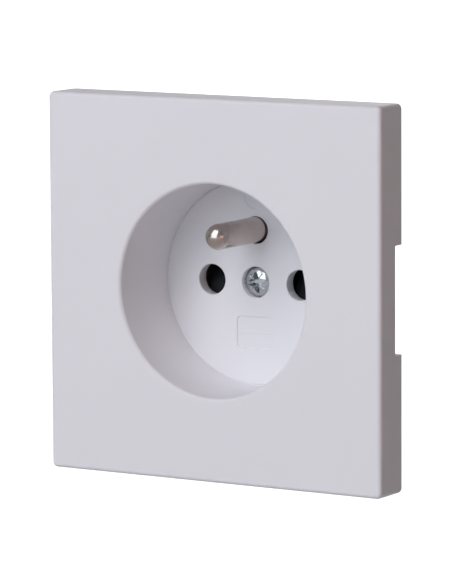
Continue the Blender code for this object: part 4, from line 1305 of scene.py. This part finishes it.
def put(
    data: bpy.types.ID, right: Vector, up: Vector, back: Vector, place: Vector
) -> bpy.types.Object:
    """Add a camera or a lamp to the scene.

    Args:
        data: The camera or lamp.
        right: Its right direction.
        up: Its up direction.
        back: Its back direction.
        place: Where it stands.

    Returns:
        Its object.
    """
    turn = Matrix((right, up, back)).transposed().to_4x4()
    turn.translation = place
    item = bpy.data.objects.new(data.name, data)
    item.matrix_world = turn
    bpy.context.scene.collection.objects.link(item)
    return item


@dataclass(frozen=True)
class Camera:
    """The camera at the photograph's viewing angle."""

    azimuth: float = 31.38
    elevation: float = 7.56
    roll: float = -0.32
    distance: float = 0.791
    focal_pixels: float = 4277.0
    image_height: float = 584.0
    sensor: float = 36.0
    clip: Point = (0.05, 50.0)
    aim: Triple = (-0.00169, 0.0, -0.00102)

    def build(self) -> None:
        """Add the camera and make it the scene's."""
        data = bpy.data.cameras.new("camera")
        data.sensor_width = self.sensor
        data.lens = self.focal_pixels * self.sensor / self.image_height
        data.clip_start, data.clip_end = self.clip
        right, up, back = facing(self.azimuth, self.elevation)
        tilt = math.radians(self.roll)
        level = right * math.cos(tilt) + up * math.sin(tilt)
        upright = up * math.cos(tilt) - right * math.sin(tilt)
        place = Vector(self.aim) + back * self.distance
        bpy.context.scene.camera = put(data, level, upright, back, place)


@dataclass(frozen=True)
class Softbox:
    """One soft lamp that looks at the object."""

    name: str
    azimuth: float
    elevation: float
    power: float
    size: Point
    colour: Triple = WHITE
    distance: float = 2.0

    def build(self) -> None:
        """Add the lamp."""
        data = bpy.data.lights.new(self.name, "AREA")
        data.shape = "RECTANGLE"
        data.size, data.size_y = self.size
        data.energy = self.power
        data.color = self.colour
        right, up, back = facing(self.azimuth, self.elevation)
        put(data, right, up, back, back * self.distance).visible_camera = False


@dataclass(frozen=True)
class Studio:
    """Pale floor, white background and soft lamps."""

    floor_height: float = -0.0955
    floor_side: float = 9.0
    floor_colour: Triple = (0.80, 0.80, 0.81)
    near_lift: float = 0.70
    far_lift: float = 1.0
    lift_reach: float = 0.19
    glow_start: Point = (-0.05, 0.10)
    room_end: Point = (-0.25, 0.15)
    ambient: Triple = (0.034, 0.024, 0.023)
    room: Triple = (0.21, 0.235, 0.27)
    lamps: tuple[Softbox, ...] = (
        Softbox("key box", -11.0, 11.0, 22.4, (2.0, 1.9), (0.84, 0.93, 1.0)),
        Softbox("high box", -6.0, 46.0, 17.6, (1.2, 0.9), (0.96, 0.90, 0.93)),
        Softbox("warm box", 58.0, -4.0, 5.3, (1.3, 1.4), (1.0, 0.58, 0.41)),
        Softbox("rear box", -160.0, 15.0, 7.0, (0.6, 0.6)),
    )

    def shows_background(self, graph: Graph) -> Signal:
        """1 for camera, glossy and transmission rays, and 0 for the rest."""
        return graph.ray("Camera").larger(graph.ray("Glossy")).larger(graph.ray("Transmission"))

    def world(self) -> None:
        """White background, a dim even light, and for gloss a grey room before the object."""
        world = bpy.data.worlds.new("studio")
        world.use_nodes = True
        bpy.context.scene.world = world
        graph = Graph(world.node_tree)
        depth = graph.part(graph.place("Generated"), "Y")
        behind = graph.fade(depth, self.room_end, kind="SMOOTHSTEP")
        gloss = graph.tint(behind, self.room, WHITE)
        plain = graph.tint(self.shows_background(graph), self.ambient, WHITE)
        colour = graph.tint(graph.ray("Glossy"), plain, gloss)
        background = world.node_tree.nodes["Background"]
        graph.feed(background.inputs["Color"], colour)
        background.inputs["Strength"].default_value = 1.0

    def floor(self) -> None:
        """A wide pale floor that keeps the object's shadow and is clear from below."""
        Bench.clear()
        place = (0.0, 0.0, self.floor_height)
        bpy.ops.mesh.primitive_plane_add(size=self.floor_side, location=place)
        plane = Bench.take("floor")
        material = bpy.data.materials.new("pale floor")
        material.use_nodes = True
        graph = Graph(material.node_tree)
        material.node_tree.nodes.remove(material.node_tree.nodes["Principled BSDF"])
        seen = self.shows_background(graph)
        matt = graph.node("ShaderNodeBsdfDiffuse", None, {"Color": self.floor_colour})
        length = {"operation": "LENGTH"}
        away = graph.node("ShaderNodeVectorMath", length, {0: graph.place()}, "Value")
        lift = graph.fade(away, (0.0, self.lift_reach), (self.near_lift, self.far_lift))
        behind = graph.fade(graph.part(graph.place(), "Y"), self.glow_start, kind="SMOOTHSTEP")
        share = 1 - graph.ray("Glossy") * (1 - behind)
        glow = graph.node("ShaderNodeEmission", None, {"Strength": seen * lift * share})
        lit = graph.node("ShaderNodeAddShader", None, {0: matt, 1: glow})
        under = graph.node("ShaderNodeNewGeometry", output="Backfacing")
        clear = graph.node("ShaderNodeBsdfTransparent")
        whole = graph.node("ShaderNodeMixShader", None, {0: under, 1: lit, 2: clear})
        graph.feed(material.node_tree.nodes["Material Output"].inputs["Surface"], whole)
        plane.item.data.materials.append(material)

    def build(self) -> None:
        """Set up the world, the floor, the lamps and the plain view settings."""
        bpy.context.scene.view_settings.view_transform = "Standard"
        self.world()
        self.floor()
        for lamp in self.lamps:
            lamp.build()


def main() -> None:
    """Build the camera, the pieces and the studio."""
    logging.basicConfig(level=logging.INFO, format="%(name)s: %(message)s")
    parts = (
        Camera(), FrontCover(), CoverScrew(), EarthPin(), Works(), ShutterSpring(),
        MountingFrame(), Studio(),
    )
    for part in parts:
        LOG.info("building %s", type(part).__name__)
        part.build()


if __name__ == "__main__":
    main()
